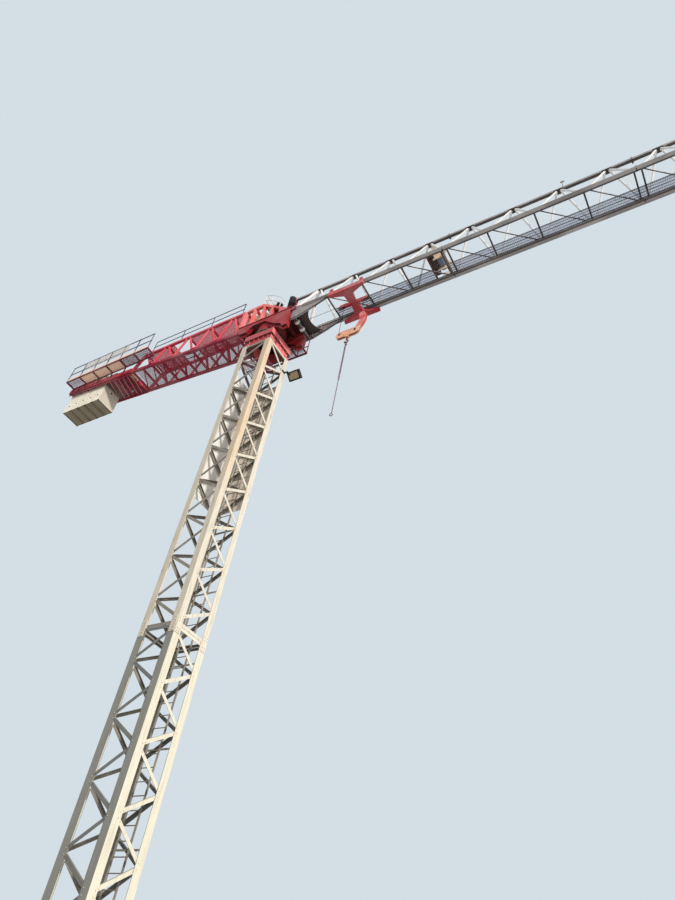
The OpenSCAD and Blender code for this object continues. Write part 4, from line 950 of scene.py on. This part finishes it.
lid = bmesh.new()
HEAD_TOP = SIDE_HIGH.z
for x_low, x_high, y_low, y_high in ((-0.14, 0.16, -0.10, 0.14), (-0.14, 0.10, -0.40, -0.16)):
    add_plate(lid, (x_low, y_low, HEAD_TOP - 0.10), (x_high, y_high, HEAD_TOP - 0.03))
    add_plate(lid, (x_low - 0.015, y_low - 0.015, HEAD_TOP - 0.03),
              (x_high + 0.015, y_high + 0.015, HEAD_TOP - 0.018))
    for x in (x_low + 0.02, x_high - 0.02):
        add_plate(lid, (x - 0.01, y_low + 0.02, TURRET_HIGH.z), (x + 0.01, y_low + 0.04, HEAD_TOP - 0.10))
finish_piece("head_boxes", lid, CABINET, bevel=0.006)

# %% [markdown]
# The two slewing drives are gear boxes with a black motor on top. Cooling fins, flange
# bolts, a fan cover and a terminal box make them read as motors.

# %% Slewing drives
DRIVE_LOW, DRIVE_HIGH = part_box("slewing_drives")
drive_y = (DRIVE_LOW.y + DRIVE_HIGH.y) / 2
fins, drive_red, drive_bolts = bmesh.new(), bmesh.new(), bmesh.new()
FINS, FLANGE_BOLTS = 28, 10
fan_ring = ring_mesh(0.118, 0.007, 28, 6)
for x in (DRIVE_LOW.x + 0.125, DRIVE_HIGH.x - 0.125):
    base = TURRET_HIGH.z
    for spoke in around(FINS):
        start = Vector((x, drive_y, base + 0.50)) + spoke * 0.122
        add_bar(fins, start, start + Vector((0, 0, 0.48)), 0.007, 0.007)
    for k in range(4):
        stamp(fins, fan_ring, Matrix.Translation((x, drive_y, DRIVE_HIGH.z - 0.02 - k * 0.022)))
    add_plate(fins, (x + 0.10, drive_y - 0.06, base + 0.66), (x + 0.165, drive_y + 0.06, base + 0.80))
    for low, high, width in ((0.0, 0.025, 0.30), (0.20, 0.225, 0.27), (0.40, 0.42, 0.27)):
        add_rod(drive_red, (x, drive_y, base + low), (x, drive_y, base + high), width, 36)
    for spoke in around(FLANGE_BOLTS):
        for radius, up in ((0.135, 0.025), (0.124, 0.225), (0.124, 0.42)):
            add_bolt(drive_bolts, Vector((x, drive_y, base + up)) + spoke * radius, (0, 0, 1), 0.009)
finish_piece("drive_fins", fins, BLACK)
finish_piece("drive_flanges", drive_red, DEEP_RED, smooth=True)
finish_piece("drive_bolts", drive_bolts, BOLT)

# %% [markdown]
# The small platform on the turret's left side carries an open grating.

# %% Service platform grating
PLAT_LOW, PLAT_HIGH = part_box("service_platform")
plat = bmesh.new()
add_grating(plat, (PLAT_LOW.x + 0.05, PLAT_LOW.y + 0.05, PLAT_LOW.z + 0.03),
            (PLAT_HIGH.x - 0.05, PLAT_HIGH.y - 0.05, PLAT_LOW.z + 0.06))
finish_piece("service_platform_grating", plat, PLUM)

# %% [markdown]
# The counter-jib's lower chords rise towards the rear. A line through the frame's boxes
# gives their height anywhere, and the mesh floor, the node plates and the flanges use it.
# A walkway of grating runs along the top, between the two hand rails.

# %% Counter-jib floor, top walkway and node plates
def chord_z(x):
    """Height of the middle of the counter-jib's bottom chords."""
    return SIDE_LOW.z + CJ_LOW_CHORD / 2 + CJ_SLOPE * (CJ_FRONT - x)


def along(x, y, up=0.0):
    return Vector((x, y, chord_z(x) + up))


mesh_floor = bmesh.new()
inner_y = CJ_Y - 0.05
ROWS, PITCH, WIRE, WIRE_THICK = 22, 0.055, 0.014, 0.006
LONG_UP, CROSS_UP = 0.042, 0.036
for i in range(1, ROWS):
    y = -inner_y + 2 * inner_y * i / ROWS
    add_bar(mesh_floor, along(CJ_FRONT - 0.1, y, LONG_UP), along(CJ_END + 0.1, y, LONG_UP),
            WIRE, WIRE_THICK)
for i in range(int((CJ_FRONT - CJ_END - 0.3) / PITCH)):
    x = CJ_FRONT - 0.1 - i * PITCH
    add_bar(mesh_floor, along(x, -inner_y, CROSS_UP), along(x, inner_y, CROSS_UP), WIRE, WIRE_THICK)
finish_piece("counter_jib_mesh", mesh_floor, PLUM)

top_walk = bmesh.new()
for x_low, x_high in ((CJ_END + 0.62, CJ_END + 1.97), (CJ_END + 2.86, CJ_FRONT - 0.05)):
    add_grating(top_walk, (x_low, -inner_y, SIDE_HIGH.z - 0.02), (x_high, inner_y, SIDE_HIGH.z),
                pitch=0.028, cross=0.05, thick=0.012)
finish_piece("counter_jib_top_walkway", top_walk, MESH_RED)

CJ_BAYS = 5
PLATE_HALF, PLATE_IN, PLATE_OUT = 0.055, 0.004, 0.008
plates, plate_bolts = bmesh.new(), bmesh.new()
bay_long = (CJ_FRONT - CJ_END) / CJ_BAYS
top_z = SIDE_HIGH.z - CJ_CHORD / 2
for side_y in (-CJ_Y, CJ_Y):
    way = math.copysign(1, side_y)
    face = side_y + way * (CJ_CHORD / 2)
    for i in range(CJ_BAYS + 1):
        x = CJ_FRONT - i * bay_long
        spots = [(x, chord_z(x) + 0.07, 0.26)] if 0 < i < CJ_BAYS else []
        if i < CJ_BAYS:
            spots.append((x - bay_long / 2, top_z - 0.05, 0.24))
        for node_x, z, width in spots:
            add_plate(plates, (node_x - width / 2, face - way * PLATE_IN, z - PLATE_HALF),
                      (node_x + width / 2, face + way * PLATE_OUT, z + PLATE_HALF))
            for k in (-0.35, -0.12, 0.12, 0.35):
                add_bolt(plate_bolts, (node_x + k * width, face + way * PLATE_OUT, z), (0, way, 0), 0.011)
finish_piece("counter_jib_plates", plates, CRIMSON, bevel=0.003)
finish_piece("counter_jib_bolts", plate_bolts, CRIMSON)

# %% [markdown]
# The rear frame's inclined beams get flange strips, stiffening ribs and bolts at the
# joint with the lattice. Crossed bars brace it. Mesh closes its floor in front of the
# ballast, and the hoist's switch box and a smaller tool box stand there.

# %% Rear frame flanges, floor and boxes
beam_high = BEAM_HIGH.z - chord_z(BEAM_LOW.x) + CJ_LOW_CHORD / 2
strips, joint_bolts = bmesh.new(), bmesh.new()
BEAM_T = 0.12
RIBS, RIB_PITCH = 9, 0.45
for side_y in (-CJ_Y, CJ_Y):
    way = math.copysign(1, side_y)
    for up in (-CJ_LOW_CHORD / 2 + 0.007, beam_high - CJ_LOW_CHORD / 2 - 0.007):
        add_bar(strips, along(BEAM_LOW.x + 0.01, side_y, up), along(CJ_END, side_y, up),
                0.014, BEAM_T + 0.05)
    for i in range(RIBS):
        x = CJ_END - 0.06 - i * RIB_PITCH
        face = side_y + way * (BEAM_T / 2 + 0.012)
        add_bar(strips, along(x, face, -CJ_LOW_CHORD / 2 + 0.01),
                along(x, face, beam_high - CJ_LOW_CHORD / 2 - 0.01), 0.012, 0.024)
    face = side_y + way * (BEAM_T / 2)
    for row in range(3):
        for k in (-0.05, -0.12):
            add_bolt(joint_bolts, along(CJ_END + k, face, row * 0.08 - 0.01), (0, way, 0), 0.014)
finish_piece("rear_frame_flanges", strips, CRIMSON)
finish_piece("rear_frame_bolts", joint_bolts, BOLT)

SLAB_LOW, SLAB_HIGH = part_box("ballast_slabs")
braces = bmesh.new()
BRACES = 6
brace_long = (SLAB_HIGH.x + 0.05 - CJ_END) / BRACES
for i in range(BRACES):
    for way in (-1, 1):
        add_bar(braces, along(CJ_END + i * brace_long, way * (CJ_Y - 0.07), -0.05 + 0.016 * way),
                along(CJ_END + (i + 1) * brace_long, way * (0.07 - CJ_Y), -0.05 + 0.016 * way),
                0.035, 0.03)
finish_piece("rear_frame_braces", braces, RED)

MESH_BARS, MESH_PITCH, MESH_WIDE, MESH_THICK = 24, 0.045, 0.012, 0.010
rear_mesh, switch_box, tool_box = bmesh.new(), bmesh.new(), bmesh.new()
floor_y = CJ_Y - BEAM_T / 2
floor_up = 0.008 - CJ_LOW_CHORD / 2
rear_stop = SLAB_HIGH.x + 0.03
for i in range(MESH_BARS + 1):
    y = -floor_y + 2 * floor_y * i / MESH_BARS
    add_bar(rear_mesh, along(CJ_END, y, floor_up), along(rear_stop, y, floor_up), MESH_WIDE, MESH_THICK)
for i in range(int((CJ_END - rear_stop) / MESH_PITCH)):
    x = CJ_END - 0.01 - i * MESH_PITCH
    add_bar(rear_mesh, along(x, -floor_y, floor_up), along(x, floor_y, floor_up), MESH_WIDE, MESH_THICK)
finish_piece("rear_frame_mesh", rear_mesh, PLUM)


def add_box(bm, x_low, x_high, y_low, y_high, height):
    """A sheet metal box on the rear frame's floor, with a lid and a door panel at its front."""
    base = chord_z(x_high) + floor_up + 0.004
    skin = add_plate(bm, (x_low, y_low, base), (x_high, y_high, base + height))
    door = [f for f in {f for v in skin for f in v.link_faces} if f.normal.x > 0.5]
    bmesh.ops.inset_region(bm, faces=door, thickness=0.03, depth=-0.008)
    add_plate(bm, (x_low - 0.012, y_low - 0.012, base + height),
              (x_high + 0.012, y_high + 0.012, base + height + 0.014))
    for k in range(5):
        add_bar(bm, (x_high, y_low + 0.06, base + height - 0.09 - k * 0.03),
                (x_high, y_high - 0.06, base + height - 0.09 - k * 0.03), 0.012, 0.012)


add_box(switch_box, rear_stop + 0.03, rear_stop + 0.40, -0.44, 0.44, 0.58)
add_box(tool_box, CJ_END - 0.13, CJ_END - 0.02, -0.44, -0.06, 0.24)
finish_piece("hoist_switch_box", switch_box, BROWN, bevel=0.004)
finish_piece("rear_tool_box", tool_box, CABINET, bevel=0.004)

# %% [markdown]
# Each concrete slab has two lifting eyes, steel edge angles and the nuts of its hanger
# rods. The eyes are spun rings that stand half out of the concrete.

# %% Ballast fittings
SLABS, SLAB_T, SLAB_GAP = 5, 0.405, 0.028
SLAB_HALF = 0.423
eye = ring_mesh(0.045, 0.010, 20, 8)
eyes, angles = bmesh.new(), bmesh.new()
for i in range(SLABS):
    x_low = SLAB_LOW.x + i * (SLAB_T + SLAB_GAP)
    x = x_low + SLAB_T / 2
    for y in (-0.25, 0.25):
        stamp_upright(eyes, eye, x, y, SLAB_HIGH.z - 0.045)
    for way in (-1, 1):
        for edge in (x_low, x_low + SLAB_T - 0.05):
            add_plate(angles, (edge - 0.002, way * (SLAB_HALF - 0.05), SLAB_LOW.z),
                      (edge + 0.052, way * (SLAB_HALF + 0.004), SLAB_LOW.z + 0.006))
        for z in (SLAB_LOW.z + 0.35, SLAB_HIGH.z - 0.45):
            add_bolt(angles, (x, way * SLAB_HALF, z), (0, way, 0), 0.022)
finish_piece("ballast_lifting_eyes", eyes, STEEL, smooth=True)
finish_piece("ballast_edge_steel", angles, STEEL)

# %% [markdown]
# The side walkway has gratings towards its ends and pressed plates between them, a beige
# toe strip along its outer edge, and wire netting on part of its hand rail.

# %% Side walkway
WALK_LOW, WALK_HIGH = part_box("side_walkway")
RAIL_LOW, RAIL_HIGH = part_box("walkway_rail")
CELLS = 6
cell = (WALK_HIGH.x - WALK_LOW.x) / CELLS
walk_top = WALK_HIGH.z
grate, pressed, toe, net = bmesh.new(), bmesh.new(), bmesh.new(), bmesh.new()
PLATE_CELLS = (1, 2, 3)
for i, pitch in ((0, 0.04), (4, 0.026), (5, 0.04)):
    x = WALK_LOW.x + i * cell
    add_grating(grate, (x + 0.04, WALK_LOW.y + 0.04, walk_top - 0.03),
                (x + cell - 0.01, WALK_HIGH.y - 0.04, walk_top), pitch=pitch, cross=2 * pitch)
finish_piece("walkway_grating", grate, PLUM)
for i in PLATE_CELLS:
    x = WALK_LOW.x + i * cell
    add_plate(pressed, (x + 0.03, WALK_LOW.y + 0.03, walk_top - 0.026),
              (x + cell - 0.01, WALK_HIGH.y - 0.03, walk_top - 0.020))
    for k in range(1, 6):
        rib_x = x + 0.02 + (cell - 0.03) * k / 6
        add_plate(pressed, (rib_x - 0.012, WALK_LOW.y + 0.06, walk_top - 0.036),
                  (rib_x + 0.012, WALK_HIGH.y - 0.06, walk_top - 0.026))
finish_piece("walkway_plates", pressed, PANEL, bevel=0.003)
toe_y = WALK_LOW.y + 0.010
add_plate(toe, (WALK_LOW.x, toe_y, walk_top - 0.001), (WALK_HIGH.x, toe_y + 0.006, walk_top + 0.13))
for i in range(CELLS * 2 + 1):
    x = WALK_LOW.x + (WALK_HIGH.x - WALK_LOW.x - 0.02) * i / (CELLS * 2) + 0.01
    add_bolt(toe, (x, toe_y, walk_top + 0.03), (0, -1, 0), 0.009)
finish_piece("walkway_toe_strip", toe, PANEL)
net_y = RAIL_LOW.y + 0.02
net_low, net_high = RAIL_LOW.z + 0.36, RAIL_HIGH.z - 0.04
NET_FROM, NET_TO, NET_PITCH, NET_WIRE = WALK_LOW.x + 0.75, WALK_LOW.x + 3.45, 0.036, 0.012
for i in range(int((NET_TO - NET_FROM) / NET_PITCH) + 1):
    x = NET_FROM + i * NET_PITCH
    add_bar(net, (x, net_y, net_low), (x, net_y, net_high), NET_WIRE, NET_WIRE)
for i in range(int((net_high - net_low) / NET_PITCH) + 1):
    z = net_low + i * NET_PITCH
    add_bar(net, (NET_FROM, net_y, z), (NET_TO, net_y, z), NET_WIRE, NET_WIRE)
finish_piece("walkway_rail_mesh", net, WHITE)

# %% [markdown]
# Hand rails are tubes that slip together, so each crossing gets a sleeve.

# %% Rail sleeves
sleeves = bmesh.new()
SLEEVE_HALF = 0.035
sleeve_y = net_y + 0.004
for i in range(CELLS + 1):
    x = WALK_LOW.x + 0.02 + i * (WALK_HIGH.x - WALK_LOW.x - 0.04) / CELLS
    for z in (RAIL_LOW.z + 0.02, RAIL_LOW.z + 0.45, RAIL_HIGH.z - 0.02):
        top = min(z + SLEEVE_HALF, RAIL_HIGH.z)
        add_rod(sleeves, (x, sleeve_y, z - SLEEVE_HALF), (x, sleeve_y, top), 0.048, 10)
UP_LOW, UP_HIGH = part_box("counter_jib_rail")
for side_y in (-CJ_Y, CJ_Y):
    for i in range(4):
        inward = {0: -0.017, 3: 0.017}.get(i, 0)
        x = UP_HIGH.x - i * (UP_HIGH.x - UP_LOW.x) / 3 + inward
        for z in (UP_LOW.z + 0.04, UP_LOW.z + 0.35):
            add_rod(sleeves, (x, side_y, z - SLEEVE_HALF), (x, side_y, z + SLEEVE_HALF), 0.044, 10)
finish_piece("rail_sleeves", sleeves, NAVY, smooth=True)

# %% [markdown]
# The hoist winch carries a drum wound with rope. Each turn of the rope is a spun ring, a
# rope's width from the next, and the upper layer stops part of the way along.

# %% Hoist winch
DRUM_LOW, DRUM_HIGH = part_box("hoist_drum")
drum = (DRUM_LOW + DRUM_HIGH) / 2
ROPE_D = 0.014
CHEEK = 0.26
rope_turns, winch_trim, motor_trim = bmesh.new(), bmesh.new(), bmesh.new()
turns = int((2 * CHEEK - 0.10) / ROPE_D)
DRUM_R = 0.16
CHEEK_BOLTS, BOLT_R = 8, 0.10
inner_turn = ring_mesh(DRUM_R + ROPE_D / 2, ROPE_D / 2, 32, 6)
outer_turn = ring_mesh(DRUM_R + ROPE_D * 1.4, ROPE_D / 2, 32, 6)
for i in range(turns):
    y = -CHEEK + 0.055 + i * ROPE_D
    stamp_upright(rope_turns, inner_turn, drum.x, y, drum.z)
    if i < turns * 0.6:
        stamp_upright(rope_turns, outer_turn, drum.x, y, drum.z)
finish_piece("hoist_drum_rope", rope_turns, ROPE, smooth=True)
motor_fin = ring_mesh(0.128, 0.006, 32, 6)
for way in (-1, 1):
    for k in range(7):
        y = drum.y + way * (CHEEK + 0.045 + k * 0.022)
        stamp_upright(motor_trim, motor_fin, drum.x, y, drum.z)
    for spoke in around(CHEEK_BOLTS):
        spot = (drum.x + BOLT_R * spoke.x, way * (CHEEK - 0.016), drum.z + BOLT_R * spoke.y)
        add_bolt(winch_trim, spot, (0, -way, 0), 0.010)
add_plate(motor_trim, (drum.x - 0.07, CHEEK + 0.05, drum.z + 0.11),
          (drum.x + 0.07, CHEEK + 0.17, drum.z + 0.19))
finish_piece("hoist_motor_fins", motor_trim, BLACK, smooth=True)
finish_piece("hoist_winch_bolts", winch_trim, BOLT)

# %% [markdown]
# Where two jib sections meet, each of the three chords has a pair of bolted end plates.
# Node plates join the side bars to the chords at every crossing.

# %% Jib joints and node plates
END_PLATE_OUT, EAR = 0.021, 0.045
end_plates, end_bolts, node_plates = bmesh.new(), bmesh.new(), bmesh.new()
chords = [(-JIB_Y, JIB_Z, CHORD), (JIB_Y, JIB_Z, CHORD), (0.0, APEX_HIGH - TOP_CHORD / 2, TOP_CHORD)]
for joint in (SECTION_1, SECTION_2):
    for y, z, side_long in chords:
        top = y == 0
        half = side_long / 2 + (0.03 if top else 0.0)
        for way in (-1, 1):
            outer = joint + way * END_PLATE_OUT
            z_high = z + side_long / 2 + (0.0 if top else EAR)
            z_low = z - side_long / 2 - (EAR if top else 0.0)
            add_plate(end_plates, (joint + way * 0.001, y - half, z_low), (outer, y + half, z_high))
            for k in (-0.6, 0.6):
                spot_z = z - side_long / 2 - 0.022 if top else z + side_long / 2 + 0.022
                add_bolt(end_bolts, (outer, y + k * half, spot_z), (way, 0, 0))
nodes = round((JIB_END - FIRST_NODE) / BAY)
for i in range(1, nodes + 1):
    x = FIRST_NODE + i * BAY
    for way in (-1, 1):
        low_y = way * (JIB_Y - 0.012)
        if i < nodes:
            add_bar(node_plates, (x - 0.17, low_y, JIB_Z + CHORD / 2 + 0.035),
                    (x + 0.21, low_y, JIB_Z + CHORD / 2 + 0.035), 0.07, 0.012)
        top_x = x - BAY / 2
        add_bar(node_plates, (top_x - 0.15, way * 0.055, APEX_HIGH - TOP_CHORD - 0.02),
                (top_x + 0.15, way * 0.055, APEX_HIGH - TOP_CHORD - 0.02), 0.08, 0.010)
finish_piece("jib_end_plates", end_plates, JIB_DARK, bevel=0.003)
finish_piece("jib_joint_bolts", end_bolts, BOLT)
finish_piece("jib_node_plates", node_plates, JIB_DARK)

# %% [markdown]
# A strip of grating lies along the left chord for the whole length of the jib, on both
# sides of the trolley winch.

# %% Jib walkway grating
STRIP_LOW, STRIP_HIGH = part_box("jib_walkway")
WINCH_LOW, WINCH_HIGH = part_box("trolley_winch")
strip = bmesh.new()
for x_low, x_high in ((STRIP_LOW.x, WINCH_LOW.x - 0.01), (WINCH_HIGH.x + 0.02, STRIP_HIGH.x)):
    add_grating(strip, (x_low, STRIP_LOW.y, STRIP_LOW.z), (x_high, STRIP_HIGH.y, STRIP_HIGH.z - 0.001),
                pitch=0.032, cross=0.055, thick=0.006)
finish_piece("jib_walkway_grating", strip, ZINC)

# %% [markdown]
# White collars sit on the dark tube between the jib's two deep foot plates, and ribs
# stiffen the plates.

# %% Jib foot
FOOT_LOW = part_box("jib_foot")[0]
tube = Vector((FOOT_LOW.x + 0.11, 0, JIB_Z - 0.48))
collars, foot_ribs = bmesh.new(), bmesh.new()
for y in (-0.28, 0.06):
    for k, wide, long in ((0.0, 0.205, 0.06), (-0.042, 0.17, 0.026), (0.042, 0.17, 0.026)):
        add_rod(collars, (tube.x, y + k - long / 2, tube.z), (tube.x, y + k + long / 2, tube.z), wide, 36)
for way in (-1, 1):
    face = way * (JIB_Y - 0.03)
    for x, z_low in ((FOOT_LOW.x + 0.30, JIB_Z - 0.54), (FOOT_LOW.x + 0.62, JIB_Z - 0.42),
                     (FOOT_LOW.x + 0.95, JIB_Z - 0.30)):
        add_plate(foot_ribs, (x - 0.006, face, z_low), (x + 0.006, face - way * 0.05, JIB_Z - 0.07))
    add_bar(foot_ribs, (FOOT_LOW.x + 0.27, way * JIB_Y, JIB_Z - 0.566),
            (FOOT_LOW.x + 0.95, way * JIB_Y, JIB_Z - 0.316), 0.012, 0.12)
    add_bar(foot_ribs, (FOOT_LOW.x, way * JIB_Y, JIB_Z - 0.566),
            (FOOT_LOW.x + 0.27, way * JIB_Y, JIB_Z - 0.566), 0.012, 0.12)
finish_piece("jib_foot_collars", collars, WHITE, smooth=True)
finish_piece("jib_foot_ribs", foot_ribs, JIB_DARK)

# %% [markdown]
# The trolley winch stands between the chords. Its drum is wound with thin rope, its motor
# has fins and a cover with louvres, and a tapered housing skin stands on a sill at its
# inner end, with a grating on each side.

# %% Trolley winch
winch_mid = Vector((WINCH_LOW.x + 0.33, 0, JIB_Z + 0.30))
winch_rope, winch_cover = bmesh.new(), bmesh.new()
thin_turn = ring_mesh(0.135, 0.005, 32, 6)
THIN_TURNS, THIN_ROPE = 36, 0.010
for i in range(THIN_TURNS):
    stamp_upright(winch_rope, thin_turn, winch_mid.x, -0.18 + i * THIN_ROPE, winch_mid.z)
winch_fin = ring_mesh(0.100, 0.005, 28, 6)
WINCH_FINS, FIN_PITCH, COVER_LOUVRES = 5, 0.022, 8
for k in range(WINCH_FINS):
    stamp_upright(winch_cover, winch_fin, winch_mid.x, 0.235 + k * FIN_PITCH, winch_mid.z)
for k in range(COVER_LOUVRES):
    z = WINCH_HIGH.z - 0.35 + k * 0.028
    add_bar(winch_cover, (WINCH_LOW.x + 0.10, -0.184, z), (WINCH_LOW.x + 0.40, -0.184, z), 0.016, 0.008)
SILL_TOP, SKIN_TOP = JIB_Z + 0.17, JIB_Z + 1.36
SKIN_HALF, SKIN_TAPER = 0.40, 0.12
housing_skin = add_plate(winch_cover, (WINCH_LOW.x - 0.006, -SKIN_HALF, SILL_TOP),
                         (WINCH_LOW.x + 0.19, SKIN_HALF, SKIN_TOP))
for vert in housing_skin:
    if vert.co.z > JIB_Z + 1.0:
        vert.co.y *= SKIN_TAPER
shelves = bmesh.new()
add_plate(shelves, (WINCH_LOW.x - 0.02, -0.43, SILL_TOP - 0.015), (WINCH_LOW.x + 0.21, 0.43, SILL_TOP))
finish_piece("trolley_winch_sill", shelves, BROWN)
side_grate = bmesh.new()
for y_low, y_high in ((-0.45, -0.235), (0.36, 0.45)):
    add_grating(side_grate, (WINCH_LOW.x + 0.24, y_low, JIB_Z + 0.055),
                (WINCH_HIGH.x, y_high, JIB_Z + 0.075), pitch=0.03, cross=0.05, thick=0.006)
finish_piece("trolley_winch_steps", side_grate, PANEL)
finish_piece("trolley_winch_rope", winch_rope, ZINC, smooth=True)
finish_piece("trolley_winch_cover", winch_cover, WINCH)

# %% [markdown]
# The floodlight gets a bezel with a pane of patterned glass, tilted with its housing.

# %% Floodlight glass
TILT = math.radians(53)
light_at = Vector((HALF + 0.29, HALF + 0.20, MAST_TOP - 0.69))
housing = Matrix.Translation(light_at) @ Matrix.Rotation(TILT, 4, "X")
GLASS_X, GLASS_Z = 0.20, 0.13
glass, bezel = bmesh.new(), bmesh.new()
pane = add_plate(glass, (-GLASS_X, -0.064, -GLASS_Z), (GLASS_X, -0.058, GLASS_Z))
bmesh.ops.transform(glass, matrix=housing, verts=pane)
for x_low, x_high, z_low, z_high in ((-0.215, 0.215, -0.145, -0.125), (-0.215, 0.215, 0.125, 0.145),
                                     (-0.215, -0.195, -0.125, 0.125), (0.195, 0.215, -0.125, 0.125)):
    strip_verts = add_plate(bezel, (x_low, -0.078, z_low), (x_high, -0.066, z_high))
    bmesh.ops.transform(bezel, matrix=housing, verts=strip_verts)
for x in (-GLASS_X, GLASS_X):
    for z in (-GLASS_Z, GLASS_Z):
        add_bolt(bezel, housing @ Vector((x, -0.078, z)), housing.to_3x3() @ Vector((0, -1, 0)), 0.008)
finish_piece("floodlight_glass", glass, LAMP_GLASS, "tower")
finish_piece("floodlight_bezel", bezel, BLACK, "tower")

# %% [markdown]
# On the trolley the wheels get axle nuts, the arms get edge strips and the side members get
# bolts.

# %% Trolley
WHEEL_LOW, WHEEL_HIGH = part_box("trolley_wheels")
TROLLEY_LOW, TROLLEY_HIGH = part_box("trolley_frame")
TX = (TROLLEY_LOW.x + TROLLEY_HIGH.x) / 2
wheel_z = (WHEEL_LOW.z + WHEEL_HIGH.z) / 2
axle_nuts, edges = bmesh.new(), bmesh.new()
for way in (-1, 1):
    for x in (WHEEL_LOW.x + 0.065, WHEEL_HIGH.x - 0.065):
        face = way * TROLLEY_HIGH.y
        add_rod(axle_nuts, (x, face, wheel_z), (x, face - way * 0.016, wheel_z), 0.075, 20)
        add_bolt(axle_nuts, (x, face - way * 0.001, wheel_z), (0, way, 0), 0.020)
    arm_z = TROLLEY_LOW.z + 0.055
    for start, end in (((0.10, 0.0), (0.17, 0.396)), ((0.17, 0.396), (0.705, 0.576))):
        for fore in (-1, 1):
            add_bar(edges, (TX + fore * start[0], way * (start[1] + 0.02), arm_z),
                    (TX + fore * end[0], way * end[1], arm_z), 0.010, 0.11)
    for x in (-0.62, -0.45, 0.45, 0.62):
        add_bolt(axle_nuts, (TX + x, way * TROLLEY_HIGH.y, TROLLEY_LOW.z + 0.04), (0, way, 0), 0.010)
finish_piece("trolley_axle_nuts", axle_nuts, BOLT, "trolley")
finish_piece("trolley_arm_edges", edges, RED, "trolley")

# %% [markdown]
# The hook block is a pair of cheeks. Pin caps with keeper bars, and bolts, finish them.

# %% Hook block
SHEAVE_LOW, SHEAVE_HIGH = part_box("hook_sheaves")
block_z = (SHEAVE_LOW.z + SHEAVE_HIGH.z) / 2
caps = bmesh.new()
for x in (SHEAVE_LOW.x + 0.10, SHEAVE_HIGH.x - 0.10):
    for way in (-1, 1):
        face = way * 0.054
        cap = (face, face + way * 0.014)
        add_pin_cap(caps, (x, face, block_z), way, cap, 0.07, (0.004, 0.028), (0.008, 0.008))
for way in (-1, 1):
    for x in (-0.12, -0.04, 0.04, 0.12):
        for z in (-0.09, 0.09):
            add_bolt(caps, (TX + x, way * 0.054, block_z + z), (0, way, 0), 0.008)
finish_piece("block_pin_caps", caps, STEEL, "block", smooth=True)

# %% [markdown]
# Two falls of the hoist rope hang between the trolley's sheaves and the block. They ride on
# no body.

# %% Rope falls
FALLS_LOW, FALLS_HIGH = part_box("rope_falls")
fall_d = FALLS_HIGH.y - FALLS_LOW.y
falls = bmesh.new()
for x in (FALLS_LOW.x + fall_d / 2, FALLS_HIGH.x - fall_d / 2):
    add_rod(falls, (x, 0, FALLS_LOW.z), (x, 0, FALLS_HIGH.z), fall_d, 12)
fall_ropes = finish_piece("fall_ropes", falls, ROPE, None, smooth=True)
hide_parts("rope_falls")
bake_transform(fall_ropes)

# %% [markdown]
# The sling is a chain. Every link is a spun ring pulled long and turned a quarter from the
# one above it, so neighbouring links pass through each other as real ones do.

# %% Chain sling
CHAIN_LOW, CHAIN_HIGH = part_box("chain_sling")
RING_R, RING_WIRE = 0.060, 0.012
chain_top = CHAIN_HIGH.z - RING_R - RING_WIRE
SPLIT = 1.75
LINK_LONG, LINK_WIDE, LINK_WIRE = 0.058, 0.026, 0.0055
chain = bmesh.new()
up_turn = Matrix.Rotation(math.pi / 2, 4, "Y")
stamp(chain, ring_mesh(RING_R, RING_WIRE, 28, 8), Matrix.Translation((TX, 0, chain_top)) @ up_turn)
link = ring_mesh(LINK_WIDE / 2 - LINK_WIRE + 0.003, LINK_WIRE, 14, 6, stretch=LINK_LONG - LINK_WIDE)
pitch = LINK_LONG - 2 * LINK_WIRE - 0.001


def add_chain(high, low, y):
    count = int((high - low) / pitch)
    for i in range(count):
        quarter = Matrix.Rotation(math.pi / 2 * (i % 2), 4, "Z")
        middle = Matrix.Translation((TX, y, high - (i + 0.5) * (high - low) / count))
        stamp(chain, link, middle @ quarter @ TURN_X)


for y in (-0.022, 0.022):
    add_chain(chain_top - RING_R + 0.004, chain_top - SPLIT + 0.02, y)
oval = ring_mesh(0.030, 0.009, 20, 8, stretch=0.05)
oval_at = Matrix.Translation((TX, 0, chain_top - SPLIT - 0.02))
stamp(chain, oval, oval_at @ up_turn @ Matrix.Rotation(math.pi / 2, 4, "Z"))
end_z = CHAIN_LOW.z + 0.055 + 0.013
add_chain(chain_top - SPLIT - 0.07, end_z + 0.07, 0.0)
claw = bmesh.new()
matrix = Matrix.Translation((0.055, 0, 0))
made = bmesh.ops.create_circle(claw, cap_ends=True, segments=12, radius=0.013, matrix=matrix)
bmesh.ops.spin(claw, geom=claw.verts[:] + claw.edges[:] + claw.faces[:], cent=(0, 0, 0), axis=(0, 1, 0),
               angle=math.radians(250), steps=22)
bmesh.ops.transform(claw, matrix=Matrix.Translation((TX, 0, end_z)), verts=claw.verts)
add_rod(claw, (TX, 0, end_z + 0.045), (TX, 0, end_z + 0.085), 0.028, 12)
claw_mesh = bpy.data.meshes.new("claw")
claw.to_mesh(claw_mesh)
claw.free()
stamp(chain, claw_mesh, Matrix.Identity(4))
sling = finish_piece("sling_chain", chain, CHAIN, "hook", smooth=True)
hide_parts("chain_sling")
